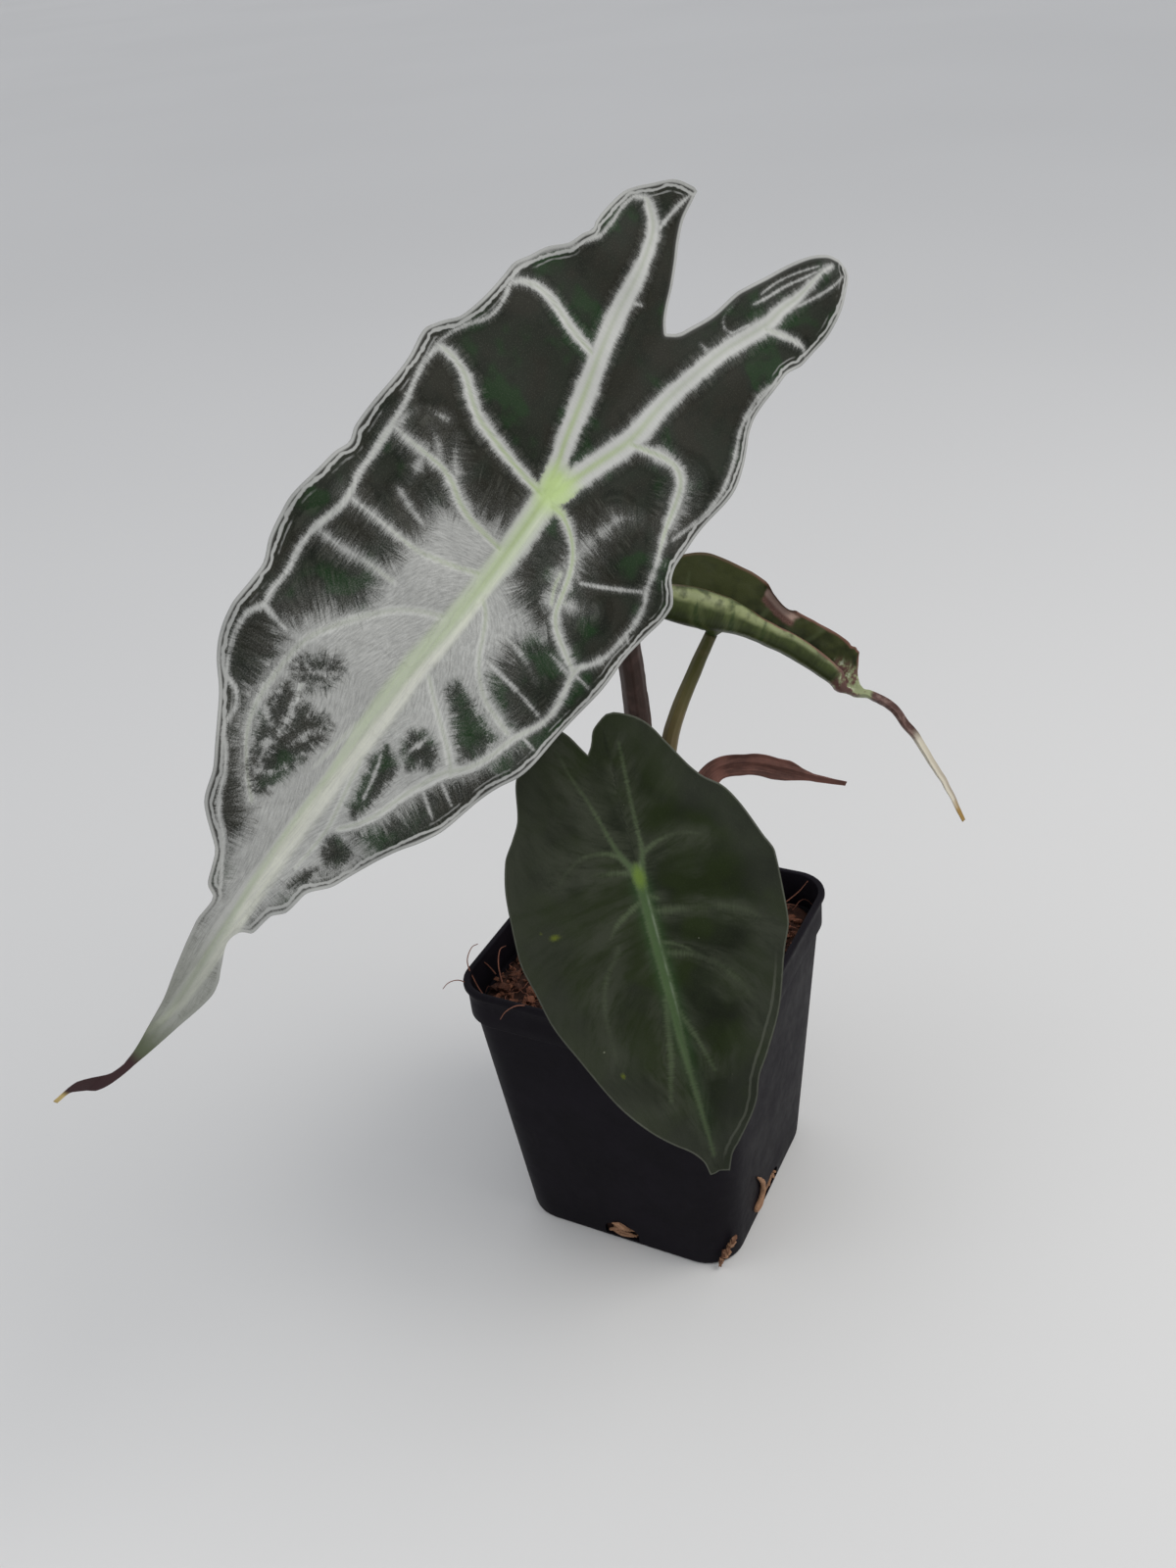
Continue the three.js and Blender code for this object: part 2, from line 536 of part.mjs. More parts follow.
// A rib: a three-sided ridge below the blade along a path of (u, v), rooted in the blade.
function ribOf({ path, width, height }, point, step) {
  const stops = [];
  for (let i = 0; i + 1 < path.length; i++) {
    const [[u0, v0], [u1, v1]] = [path[i], path[i + 1]];
    const parts = spaced(0, 1, step / Math.hypot(u1 - u0, v1 - v0));
    parts.slice(i ? 1 : 0).forEach((part) => stops.push([lerp(u0, u1, part), lerp(v0, v1, part)]));
  }
  const rings = stops.map(([u, v], i) => {
    const [before, after] = [stops[Math.max(0, i - 1)], stops[Math.min(stops.length - 1, i + 1)]];
    const span = Math.hypot(after[0] - before[0], after[1] - before[1]);
    const [du, dv] = [(after[0] - before[0]) / span, (after[1] - before[1]) / span];
    const part = i / (stops.length - 1);
    const half = lerp(width[0], width[1], part) / 2;
    const crest = BLADE_THICKNESS + lerp(height[0], height[1], part);
    return [
      point(u + dv * half, v - du * half, RIB_ROOT),
      point(u, v, crest),
      point(u - dv * half, v + du * half, RIB_ROOT),
    ];
  });
  return loft(rings);
}

// The joint below a leaf where its stalk ends: it takes the blade's curve above and is flat below.
function jointOf({ jointRadius, jointDepth }, { point, normal }) {
  const sides = 12;
  const flat = point(0, 0, jointDepth);
  const ring = Array.from({ length: sides }, (_, i) => {
    const angle = (-2 * Math.PI * i) / sides;
    return [jointRadius * Math.cos(angle), jointRadius * Math.sin(angle)];
  });
  const onto = (p) => p.addScaledVector(normal, flat.clone().sub(p).dot(normal));
  return loft([
    ring.map(([u, v]) => point(u, v, RIB_ROOT)),
    ring.map(([u, v]) => onto(point(0.8 * u, 0.8 * v, 0))),
  ]);
}

function leafSolid(leaf, surface) {
  let solid = solidOf(thicken(leafNet(leaf), surface.point, BLADE_THICKNESS));
  solid = solid.add(solidOf(jointOf(leaf, surface)));
  for (const rib of leaf.ribs) solid = solid.add(solidOf(ribOf(rib, surface.point, leaf.ribStep)));
  return geometryFrom(solid);
}

// A stalk from the crown to a leaf's joint, which it meets square, GAP short of touching.
function stalk({ points, radii }, { jointDepth }, { point, normal }) {
  const end = point(0, 0, jointDepth + GAP);
  const path = points.map(([x, y, z]) => new Vector3(x, y, Math.max(z, CROWN_HEIGHT + GAP)));
  path.push(end.clone().addScaledVector(normal, -STALK_LEAD), end);
  const curve = new THREE.CatmullRomCurve3(path);
  const steps = 18;
  const frames = curve.computeFrenetFrames(steps);
  const rings = curve.getSpacedPoints(steps).map((centre, i) => {
    const ends = { 0: new Vector3(0, 0, 1), [steps]: normal };
    const axis = ends[i] ?? frames.tangents[i];
    const side = frames.normals[i].clone().addScaledVector(axis, -frames.normals[i].dot(axis)).normalize();
    const other = axis.clone().cross(side);
    const radius = at(radii.map((r, k) => [k / (radii.length - 1), r]), i / steps);
    return Array.from({ length: 10 }, (_, k) => {
      const angle = (2 * Math.PI * k) / 10;
      const [c, s] = [radius * Math.cos(angle), radius * Math.sin(angle)];
      return centre.clone().addScaledVector(side, c).addScaledVector(other, s);
    });
  });
  return loft(rings);
}

// The sheath is a strip across its spine, facing one way, hollow behind.
function drySheath() {
  const curve = new THREE.CatmullRomCurve3(SHEATH.spine.map((p) => new Vector3(...p)));
  const length = curve.getLength();
  const point = (u, v, depth) => {
    const along = curve.getTangentAt(u / length);
    const across = SHEATH.face.clone().cross(along).normalize();
    const out = along.clone().cross(across);
    const bend = v ** 2 / (2 * SHEATH.channelRadius);
    return curve.getPointAt(u / length).addScaledVector(across, v).addScaledVector(out, bend + depth);
  };
  const places = [];
  const faces = [];
  const rows = spaced(0, length, SHEATH.rowStep);
  const columns = 2 * SHEATH.columns;
  rows.forEach((u, i) => {
    const half = at(SHEATH.halfWidth, u);
    for (let j = 0; j <= columns; j++) places.push([u, lerp(half, -half, j / columns)]);
    if (i === 0) return;
    for (let j = 0; j < columns; j++) {
      const d = i * (columns + 1) + j;
      const a = d - columns - 1;
      faces.push([a, d, d + 1], [a, d + 1, a + 1]);
    }
  });
  return thicken({ places, faces }, point, SHEATH.thickness);
}

const plant = new THREE.Group();

function addPiece(name, geometry) {
  const bare = geometry.index ? geometry.toNonIndexed() : geometry;
  bare.computeVertexNormals();
  const material = new THREE.MeshStandardMaterial({ ...FINISHES[name], metalness: 0 });
  const mesh = new THREE.Mesh(bare, material);
  mesh.name = name;
  plant.add(mesh);
}

const venomLeaf = broadLeaf(VENOM, venomHeight);
const youngLeaf = broadLeaf(YOUNG, youngHeight);
const curledLeaf = rolledLeaf(ROLLED);

addPiece("pot", pot());
addPiece("potting_mix", pottingMix());
addPiece("rhizome", rhizome());
addPiece("petiole_venom", stalk(STALKS.venom, VENOM, venomLeaf));
addPiece("leaf_venom", leafSolid(VENOM, venomLeaf));
addPiece("petiole_young", stalk(STALKS.young, YOUNG, youngLeaf));
addPiece("leaf_young", leafSolid(YOUNG, youngLeaf));
addPiece("petiole_curled", stalk(STALKS.rolled, ROLLED, curledLeaf));
addPiece("leaf_curled", leafSolid(ROLLED, curledLeaf));
addPiece("dry_sheath", drySheath());

export default plant;
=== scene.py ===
"""Potted venom alocasia: leaves, stalks, pot and coco mix in full detail, built round the plant's fixed frame.

Lists of places are in millimetres, as the frame's own part was drawn; settings in the sidebar are in metres.
"""

import math
from functools import partial

import bmesh
import bpy
import numpy as np
from bpy.props import FloatProperty, FloatVectorProperty, IntProperty, PointerProperty
from mathutils import Matrix, Vector


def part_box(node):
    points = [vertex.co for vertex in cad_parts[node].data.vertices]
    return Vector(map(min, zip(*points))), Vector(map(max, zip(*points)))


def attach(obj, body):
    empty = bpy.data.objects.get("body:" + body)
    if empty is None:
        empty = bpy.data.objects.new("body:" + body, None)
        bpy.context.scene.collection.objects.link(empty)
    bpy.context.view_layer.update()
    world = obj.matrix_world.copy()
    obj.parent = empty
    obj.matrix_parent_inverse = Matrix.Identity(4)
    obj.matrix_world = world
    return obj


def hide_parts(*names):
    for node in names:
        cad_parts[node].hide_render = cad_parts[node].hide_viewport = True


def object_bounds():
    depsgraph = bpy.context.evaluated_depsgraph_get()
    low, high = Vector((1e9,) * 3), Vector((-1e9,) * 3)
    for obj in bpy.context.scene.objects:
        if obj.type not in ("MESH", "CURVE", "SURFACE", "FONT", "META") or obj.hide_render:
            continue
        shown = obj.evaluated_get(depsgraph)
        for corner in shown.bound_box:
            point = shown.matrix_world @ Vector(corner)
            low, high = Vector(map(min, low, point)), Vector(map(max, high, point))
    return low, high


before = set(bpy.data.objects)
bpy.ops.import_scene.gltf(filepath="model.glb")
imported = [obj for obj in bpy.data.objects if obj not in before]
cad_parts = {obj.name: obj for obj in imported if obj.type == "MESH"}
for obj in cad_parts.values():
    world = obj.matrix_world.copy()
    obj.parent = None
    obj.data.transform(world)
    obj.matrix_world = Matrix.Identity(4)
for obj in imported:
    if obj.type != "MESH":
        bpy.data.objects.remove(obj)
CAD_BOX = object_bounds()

bl_info = {
    "name": "Potted Venom Alocasia",
    "version": (1, 0, 0),
    "blender": (4, 5, 0),
    "location": "3D View > Sidebar > Alocasia",
    "description": "Builds the leaves, stalks, pot and coco mix of a potted venom alocasia",
    "category": "Object",
}

MM = 0.001
CAD_TOP = CAD_BOX[1][2]
BODY = "root"

# The large leaf. Its knob is the (radius, depth) of the joint below the blade, and its stalk runs from the
# crown, with radii from foot to head. Margins and veins are places (u, v): u runs along the midrib from the
# joint towards the drip tip, and v runs across, to the right as seen with the tip down.
VENOM = {
    "knob": (4, 4.6),
    "stalk": [(-4.5, 1, 92.5), (-0.5, 1, 130), (3, -0.5, 180), (3.5, -11, 224)],
    "stalk_radii": [4.3, 3.5, 2.7],
    "joint": (9.9, -45.1, 261.9),
    "along": (-0.427, -0.674, -0.604),
    "across": (0.566, 0.322, -0.759),
    "sinus": -45.7,
    "tip": 175,
    "midrib": [(-45.7, 0.7), (0, -0.8), (20, -1.2), (50, -2.5), (90, -2.5), (110, -2), (120, -1.5), (130, 0),
        (140, 2), (150, 2.7), (160, 2.3), (165, 1), (168.8, -1.7), (171.5, -3.9), (175, -4.4)],
    "left": {
        "outer": [(-75, -14.6), (-73.5, -18.1), (-71.8, -20.4), (-68.5, -22.8), (-65, -25.4), (-62.5, -26.8),
            (-59, -27.6), (-51.5, -28.5), (-49.8, -28.1), (-47.4, -29.3), (-43.9, -30.4), (-39.2, -33.9),
            (-35.7, -35.4), (-31.6, -37.3), (-27.5, -37.7), (-17.5, -39.2), (-14.4, -40), (-10.9, -42.4),
            (-6.8, -44.2), (0, -43.6), (12.5, -44.2), (18.4, -44), (22, -43), (25.5, -44.2), (30, -45),
            (38.4, -46.1), (43, -45.4), (47.7, -44.4), (53.8, -42.3), (62.3, -42.7), (65.8, -42.1),
            (70.5, -40.4), (74, -38.3), (79.3, -33.9), (84, -31), (88.7, -28.1), (92.8, -25.4), (99.8, -22.2),
            (102.2, -19.8), (104.5, -16.9), (107.2, -13.8), (110.2, -12.4), (114.2, -10.4), (115.7, -7.8),
            (117.6, -7.2), (121.3, -7.2), (124.5, -6.5), (134, -3.6), (142.7, -0.6), (149.6, 0.7), (157.6, 2),
            (162.4, 1.3), (164.5, 0.2), (166.7, -2.3), (168.8, -3.9), (175, -4.9)],
        "inner": [(-75, -13.4), (-72, -12.9), (-68.5, -12.2), (-64, -10), (-60, -7.5), (-55, -4.9), (-50, -2.6),
            (-47.5, -1), (-45.7, 0.7)],
    },
    "right": {
        "outer": [(-90.4, 28.3), (-89.4, 29.7), (-85.5, 31.2), (-77.9, 33.3), (-73.2, 34), (-68.5, 33.5),
            (-64.4, 32.7), (-58, 29.6), (-50, 29), (-46.2, 29.3), (-42.1, 30.6), (-38.6, 32.4), (-34.5, 33.8),
            (-27.5, 34.8), (-18, 34), (-10.3, 33.5), (-4.5, 32.7), (-1.8, 33.3), (0.8, 35.9), (3.2, 37.7),
            (6.7, 38), (12.5, 37.1), (21.9, 34.8), (30.7, 34.1), (38.4, 33.5), (47.7, 31.8), (55.3, 30),
            (60.5, 27.7), (70.5, 25), (75.2, 23.3), (79.9, 20.6), (84.6, 17.7), (94.6, 13.9), (99.3, 11.8),
            (104.5, 7.7), (109.8, 7.1), (112.8, 5.2), (118.1, 4.7), (119.5, 2.6), (122.4, 1.8), (128.3, 4.1),
            (131.5, 5.7), (134.7, 6.4), (145.3, 5.2), (156.5, 3.8), (162.9, 2.9), (168.3, 1.1), (169.9, -1.2),
            (171.5, -3.3), (175, -3.9)],
        "inner": [(-90.4, 25.3), (-89.1, 22.4), (-87.3, 20.3), (-85, 18.3), (-80.9, 15.9), (-73.2, 12.4),
            (-68.5, 10.1), (-65, 8.6), (-57.4, 7.1), (-50.3, 4.2), (-47.7, 3), (-45.7, 0.7)],
    },
}

# The large leaf's main ribs, as places (u, v, width). They are sunk above and ridged below.
VENOM_RIBS = [
    [(-3, -1, 5), (6, -0.9, 5.2), (20, -1.1, 5.2), (40, -2, 5), (60, -2.8, 5), (90, -2.5, 4.6), (120, -1, 4),
        (140, 2, 3), (158, 2.8, 2)],
    [(2, -1.8, 4), (-5, -3.3, 4), (-10, -5, 4.2), (-20, -7.3, 4.6), (-30, -10.2, 4), (-40, -12, 3.9),
        (-50, -13.6, 3.2), (-55, -14.5, 2.8), (-60, -15.9, 2.6), (-62.2, -17.5, 2.5), (-64, -20.3, 2),
        (-64.8, -22, 1.2), (-63.2, -24.4, 0.8)],
    [(2, 0, 4), (-5, 2.3, 3.8), (-10, 4, 3.9), (-20, 7.3, 3.9), (-30, 8.7, 3.4), (-40, 10.6, 3.2),
        (-50, 13.2, 3.1), (-60, 17.1, 3.1), (-65, 19, 3), (-70, 20, 2.6), (-75, 21.7, 2), (-80, 22.4, 1.4),
        (-85, 23.2, 1), (-87.5, 24.4, 0.8)],
]

# Its side veins: the reach of the silver hairs along their edges, then places (u, v, width).
VENOM_VEINS = [
    (0.5, [(-28.8, -12, 2.4), (-29, -16, 2.4), (-29.5, -20, 2.5), (-30.6, -24, 2.5), (-31.3, -28, 2.3),
        (-31, -31, 2), (-29.5, -34, 1.3), (-28, -35.4, 0.9)]),
    (0.6, [(3, -2, 2.4), (2.9, -6, 2.4), (2.6, -10, 2.5), (2, -15, 2.6), (1.1, -20, 2.8), (0, -24.5, 2.8),
        (-2.4, -28.5, 2.7), (-4.8, -31.6, 2.4), (-6, -34.5, 2.1), (-6.6, -37.5, 1.9), (-6.2, -40, 1.4)]),
    (1.1, [(18.6, -3, 2.6), (18.5, -8, 2.6), (18.2, -13, 2.8), (16.8, -17.5, 2.8), (14.6, -21.6, 2.6),
        (13.7, -25.5, 2.2), (13.8, -30.4, 1.8), (13.8, -36, 1.3), (13.4, -38, 1)]),
    (1.5, [(13.2, -21.5, 0.8), (10.6, -23.6, 0.5), (6.6, -26, 0.1)]),
    (1.5, [(13.5, -26, 0.6), (10.5, -28.5, 0.3), (8, -32.5, 0.1)]),
    (0.7, [(5, -30, 0.4), (6, -34, 0.1)]),
    (0.9, [(13, -37.2, 1), (10.6, -37.4, 0.6), (6.8, -35.8, 0.1)]),
    (1, [(14.5, -29.6, 0.7), (17.5, -28.9, 0.5), (20.5, -28.5, 0.1)]),
    (0.8, [(23.2, -29.4, 0.2), (24.4, -26, 0.5), (25.8, -20.5, 0.9)]),
    (1.1, [(26, -4, 2.4), (28, -9, 2.4), (29.6, -14, 2.4), (30.8, -18.5, 2.2), (31.1, -24, 1.5), (31, -30, 1.2),
        (31.2, -36.8, 1.1)]),
    (1.3, [(39.2, -19, 2.2), (39.5, -26, 1.3), (40.3, -31, 1), (40.6, -37, 1)]),
    (1.6, [(38.3, -5, 2.6), (40.5, -10, 2.6), (43.5, -14.5, 2.6), (47.5, -18.3, 2.6), (51.5, -21.5, 2.6),
        (55.5, -24.3, 2.6), (60, -26.5, 2.6), (65, -27, 2.5), (70, -27, 2.3), (75, -26.8, 2.2), (80, -25.6, 2),
        (84, -23.6, 1.8), (88, -20.4, 1.8), (91, -17.6, 2), (94, -14.4, 2.2)]),
    (0.45, [(-6.2, -40, 1.2), (-1.5, -40.4, 0.9), (3.2, -40, 0.9), (7.9, -39, 0.9), (12.5, -38.5, 1.3),
        (16.1, -38.2, 1.5), (21.3, -37.8, 1.3), (26, -37.9, 1.1), (30.1, -37.1, 1.4), (34.3, -37.2, 1.4),
        (39.5, -38.3, 1.3), (44.8, -38.6, 1.1), (51.7, -37.6, 1), (55.8, -38, 0.9), (59.6, -37.6, 1.2),
        (62.4, -39, 0.9), (66.4, -38.9, 0.7), (71.1, -37.2, 0.6), (75.6, -34.6, 0.7), (77, -31.4, 0.8),
        (79.8, -29.4, 0.8), (84.2, -29, 0.7), (88.1, -25.8, 0.8), (92.2, -22.9, 0.8), (97, -20.6, 0.9),
        (100.4, -18, 0.9), (104, -14, 0.9), (109, -10.6, 1), (114.5, -6.8, 1)]),
    (0.5, [(59.6, -37.4, 1), (60.4, -34, 0.7), (61, -30, 1.2)]),
    (0.6, [(61, -15.5, 0.3), (57, -17, 0.8), (53, -16, 0.3)]),
    (0.4, [(-60.5, -15.4, 1), (-65, -15.3, 0.9), (-70, -14.9, 0.7), (-74, -13.9, 0.6)]),
    (0.35, [(-63.2, -24.4, 0.8), (-60, -25.2, 0.5), (-55, -25.3, 0.5), (-50, -26, 0.6), (-47, -27.4, 0.6),
        (-44, -29.2, 0.6), (-40, -32.4, 0.6), (-35, -35, 0.6), (-31, -36, 0.7), (-27.5, -35.6, 0.8),
        (-22, -34.8, 0.7), (-18, -35.4, 0.6), (-14, -37.8, 0.6), (-9, -39.9, 0.6), (-4, -40.4, 0.8)]),
    (0.5, [(-63.3, 19, 2), (-64.6, 22, 1.8), (-66, 25.2, 1.5), (-67, 28, 1.3), (-67.4, 30.2, 0.8),
        (-66.2, 32.2, 0.6)]),
    (0.35, [(-71.5, 21.6, 0.6), (-75, 23.6, 0.5), (-80, 25.9, 0.4), (-85, 27.7, 0.4), (-88, 28.4, 0.4)]),
    (0.3, [(-65.4, 13.3, 0.2), (-70, 15.5, 0.45), (-75, 17.6, 0.4), (-80, 20.2, 0.4), (-86, 23, 0.4)]),
    (0.25, [(-69, 13.6, 0.1), (-71, 14.2, 0.3), (-75, 15.7, 0.25), (-80, 18.3, 0.25), (-85, 21.6, 0.25)]),
    (0.25, [(-62, 16, 0.7), (-59, 14.2, 0.45), (-56.6, 13, 0.4), (-56.4, 11, 0.25), (-58.5, 9.4, 0.2),
        (-64, 9.8, 0.15)]),
    (0.3, [(-49, 11.4, 0.8), (-49.2, 8.6, 0.3)]),
    (0.3, [(-44.6, -10.4, 0.8), (-46, -8, 0.3)]),
    (0.8, [(-19.6, 8, 2.3), (-21, 12, 2.3), (-22.3, 16, 2.3), (-22.4, 19.6, 2.4), (-20.6, 22.4, 2.7),
        (-17.6, 24, 2.8), (-13.8, 25.2, 2.6), (-10, 26, 2), (-6, 26.9, 1.5), (-2, 28.1, 1.1), (2, 29.2, 0.9),
        (4.6, 30, 0.9)]),
    (2, [(-20.5, 23.5, 0.9), (-16, 25.6, 1.2), (-11, 27, 0.9)]),
    (0.5, [(-55, 28.4, 0.5), (-50, 27, 0.6), (-45, 27.4, 0.7), (-40, 28.4, 0.8), (-35, 30.5, 0.8),
        (-30, 31.6, 0.8), (-25, 32.3, 0.8), (-20, 32.2, 0.7), (-15, 31.2, 0.7), (-12, 30, 0.7),
        (-9, 28.8, 0.8)]),
    (0.6, [(4.6, 30, 0.9), (6.6, 31.5, 0.9), (10.2, 32.5, 0.8), (14.9, 32.4, 0.8), (18.4, 31.6, 0.8),
        (21.9, 30.7, 0.9), (26, 28.4, 1.2), (28.6, 26.4, 1.6), (31, 26.6, 1.7), (35, 27.5, 1.5), (40, 28, 1.4),
        (44, 26.9, 1.5), (47, 25.2, 1.7), (50, 23.6, 2), (54, 22.4, 2), (58, 20.9, 2.2), (61.5, 18.8, 2.5),
        (65, 15.6, 3.2), (69, 13.8, 3), (73, 12.2, 2.6), (77, 10.8, 2.3), (81, 9.4, 2.2), (85, 7.4, 2.2),
        (88.5, 5, 2.2)]),
    (0.3, [(13, 16, 0.6), (10.6, 20.4, 0.7), (8, 24.8, 0.6), (4.8, 29.8, 0.8)]),
    (0.8, [(3.4, 1.5, 2), (3.6, 4, 2), (5.4, 7.4, 2), (8.2, 10.4, 2), (12, 12.5, 2), (16, 13.5, 2),
        (20, 14.3, 2.1), (22.4, 15.2, 2.3), (24.6, 17.2, 2.3), (26.4, 20, 2.2), (28, 23, 2),
        (29.4, 25.8, 1.8)]),
    (2.4, [(13, 12.4, 1.6), (7, 12, 1), (2, 13, 0.4), (-4, 14.6, 0.1)]),
    (2.2, [(19, 15, 1.4), (18.2, 18, 0.6), (16.4, 21.6, 0.1)]),
    (1.6, [(14, 11, 1.4), (18, 11.6, 1.6), (21, 13, 1.6)]),
    (1.3, [(1, 13.4, 0.5), (-4, 14.8, 0.3), (-7.4, 18.9, 0.1)]),
    (1.3, [(30, 1, 2.2), (32, 3, 2.2), (36, 5, 2.2), (40.5, 7, 2.3), (44.3, 10, 2.4), (46.8, 13.4, 2.5),
        (48.3, 17.4, 2.5), (49.6, 22, 2.4)]),
    (1.2, [(50.5, 1, 2.2), (53.5, 4.4, 2.2), (56.4, 8, 2.3), (59.4, 11.8, 2.4), (62.4, 15.2, 2.6),
        (64.4, 17, 2.6)]),
    (0.8, [(33, 9, 1.2), (33.9, 14, 0.5), (36.6, 20.4, 0.1)]),
    (0.4, [(40, 9, 1.2), (40.9, 18, 0.5), (42.2, 25.6, 0.4)]),
    (0.6, [(30.6, 25, 0.9), (29.8, 20, 0.4), (29.6, 17, 0.1)]),
    (0.3, [(48.2, 25.4, 0.7), (48.9, 29.2, 0.4)]),
    (0.3, [(67, 16.4, 0.6), (69.8, 21.6, 0.4)]),
    (0.3, [(71, 14.4, 0.6), (74.6, 19.8, 0.4)]),
    (0.3, [(29.8, 26.5, 0.6), (30.3, 31.5, 0.4)]),
    (0.3, [(14.6, 31.8, 0.6), (16.2, 33.8, 0.5)]),
    (0.9, [(74, 0.2, 2), (80, 1.2, 2), (85, 2.2, 2), (90, 3.2, 2), (95, 3.4, 1.8), (101, 3, 1.4)]),
    (0.9, [(68, -6.4, 1.6), (75, -7.2, 1.8), (81, -8.2, 1.4)]),
]

# The silver ground round its midrib, as outlines, the dark windows left in it, and the silver wisps
# that cross the windows.
VENOM_SILVER = [
    (2.6, [(15, -1), (16.5, -8), (17.5, -13), (20, -18.5), (24, -20), (28, -18.5), (30, -21), (33, -21),
        (36, -20.5), (39, -22), (42.5, -19.5), (46, -19.5), (50, -22), (54, -26), (57, -28.6), (60, -30.4),
        (64, -28.8), (70, -27.8), (76, -27.8), (80, -26.6), (85, -24), (88.6, -21), (91.5, -18.2),
        (94.5, -14.8), (97, -12.4), (101, -11.6), (105, -11), (109, -9.6), (114, -7), (121, -6.4), (130, -6),
        (142, -2), (152, 1), (166, 1), (150, 6), (140, 7), (132, 6), (125, 3), (119, 3.4), (114, 3.4),
        (108, 4.4), (104, 5), (98.5, 7.5), (95, 12), (90, 12.5), (88.4, 6.6), (85, 8.6), (81, 10.6), (76.4, 12),
        (73, 13.8), (68, 15.4), (64, 18), (61, 20), (57.6, 21.5), (53, 23), (50, 23.8), (47.4, 15), (45, 12),
        (42, 11), (38, 10), (34, 9.6), (30.5, 12.5), (28, 13.5), (26.2, 8), (25, 4.5), (23, 2)]),
    (0.9, [(-1, 1.6), (10, 1.7), (20, 1.8), (30, 1.6), (30, -1), (-1, -1)]),
    (1.4, [(4, -4), (10, -4), (18, -4.6), (18, -1), (4, -1)]),
]
VENOM_WINDOWS = [
    (1.7, [(69.6, -23.8), (74, -24.8), (78, -24.2), (82, -22.4), (86, -20.8), (89, -18.6), (91.4, -16),
        (91.6, -14), (88, -12.9), (84, -12.2), (80, -11.3), (75.6, -10.4), (71.6, -11), (70.6, -13.6),
        (71.4, -17), (71.6, -19.6), (69.6, -21.4)]),
    (2.6, [(60, -16.4), (59.8, -19), (61.4, -22), (62.8, -24.6), (66, -25), (68.4, -22.6), (67.6, -19),
        (65, -16.8), (62.4, -17.2)]),
    (1.3, [(47.4, 6.6), (48.4, 9), (50.2, 13), (51.6, 17.6), (52.4, 20.2), (56, 19.8), (59, 18.4), (60.6, 16.8),
        (57.4, 13.6), (54.4, 10.4), (51.8, 7.6), (49.6, 5.8)]),
    (1.3, [(61, 6.4), (61.6, 9.6), (63, 12), (66, 12.2), (66.6, 10.4), (68.4, 8.8), (67, 6.4), (65, 5),
        (63, 5)]),
    (1.1, [(68.2, 2.6), (70, 6.4), (74, 7.3), (79, 7), (82.6, 6.4), (84.6, 5.2), (83, 4.2), (79, 3.6),
        (75, 2.7), (71, 2.1)]),
    (1.2, [(90, 6.2), (90.6, 9), (92, 10.8), (95, 10.4), (96.6, 8), (95, 5.6), (92, 5)]),
    (0.9, [(98.6, 6.6), (101, 6.6), (105.6, 4.8), (105, 4.2), (101.4, 4.8)]),
]
VENOM_WISPS = [
    (1.3, [(68, -21.5, 1.6), (72, -20, 1.2), (77, -19.2, 0.9), (82, -19.6, 0.6), (86, -18.6, 0.3)]),
    (0.8, [(73.4, -11, 0.5), (75, -13.6, 0.5), (79.4, -15.6, 0.3)]),
    (0.8, [(84, -13, 0.6), (87.4, -15.6, 0.6), (88, -18.6, 0.4)]),
    (0.9, [(79, -10, 0.5), (80.6, -13, 0.4)]),
    (0.9, [(62, -17, 0.6), (64.4, -20, 0.7), (64, -24, 0.4)]),
    (0.9, [(76, -25, 0.5), (78.4, -22, 0.4)]),
    (0.35, [(70, 2.6, 0.5), (75, 4.2, 0.5), (80.4, 5.2, 0.4)]),
    (0.5, [(61.5, 8, 0.6), (66, 6.6, 0.4)]),
]

# Along its midrib: where the lime band and the cream band beside it run, as (u, middle, half width).
VENOM_LIME = [(-4, -0.9, 2.6), (0, -0.9, 2.3), (10, -0.9, 2.2), (20, -1.3, 2.2), (30, -2, 2.1), (40, -2.9, 2.1),
    (50, -4.4, 1.9), (60, -4.8, 1.7), (70, -4.6, 1.2), (80, -4, 0.8), (90, -3.8, 0.7), (100, -3.3, 0.7),
    (110, -2.2, 0.8), (120, -0.2, 0.8), (145, 2, 0.6), (175, -4, 0.3)]
VENOM_CREAM = [(-4, 0.6, 0.2), (20, 0.6, 0.3), (30, 0.5, 0.6), (40, 0.1, 0.8), (50, -1.2, 1.2), (60, -1.3, 1.4),
    (70, -1.5, 1.6), (80, -1.9, 1.7), (90, -1.6, 1.8), (100, -1.2, 1.7), (110, 0, 1.4), (120, 1.3, 1),
    (140, 3, 0.6), (175, -4, 0.2)]
# How steeply the silver streaks leave the midrib for the tip, as (u, slope).
VENOM_SLOPE = [(-90, 0.1), (0, 0.15), (27, 0.3), (42, 0.75), (60, 1.1), (80, 2), (110, 4), (175, 6)]

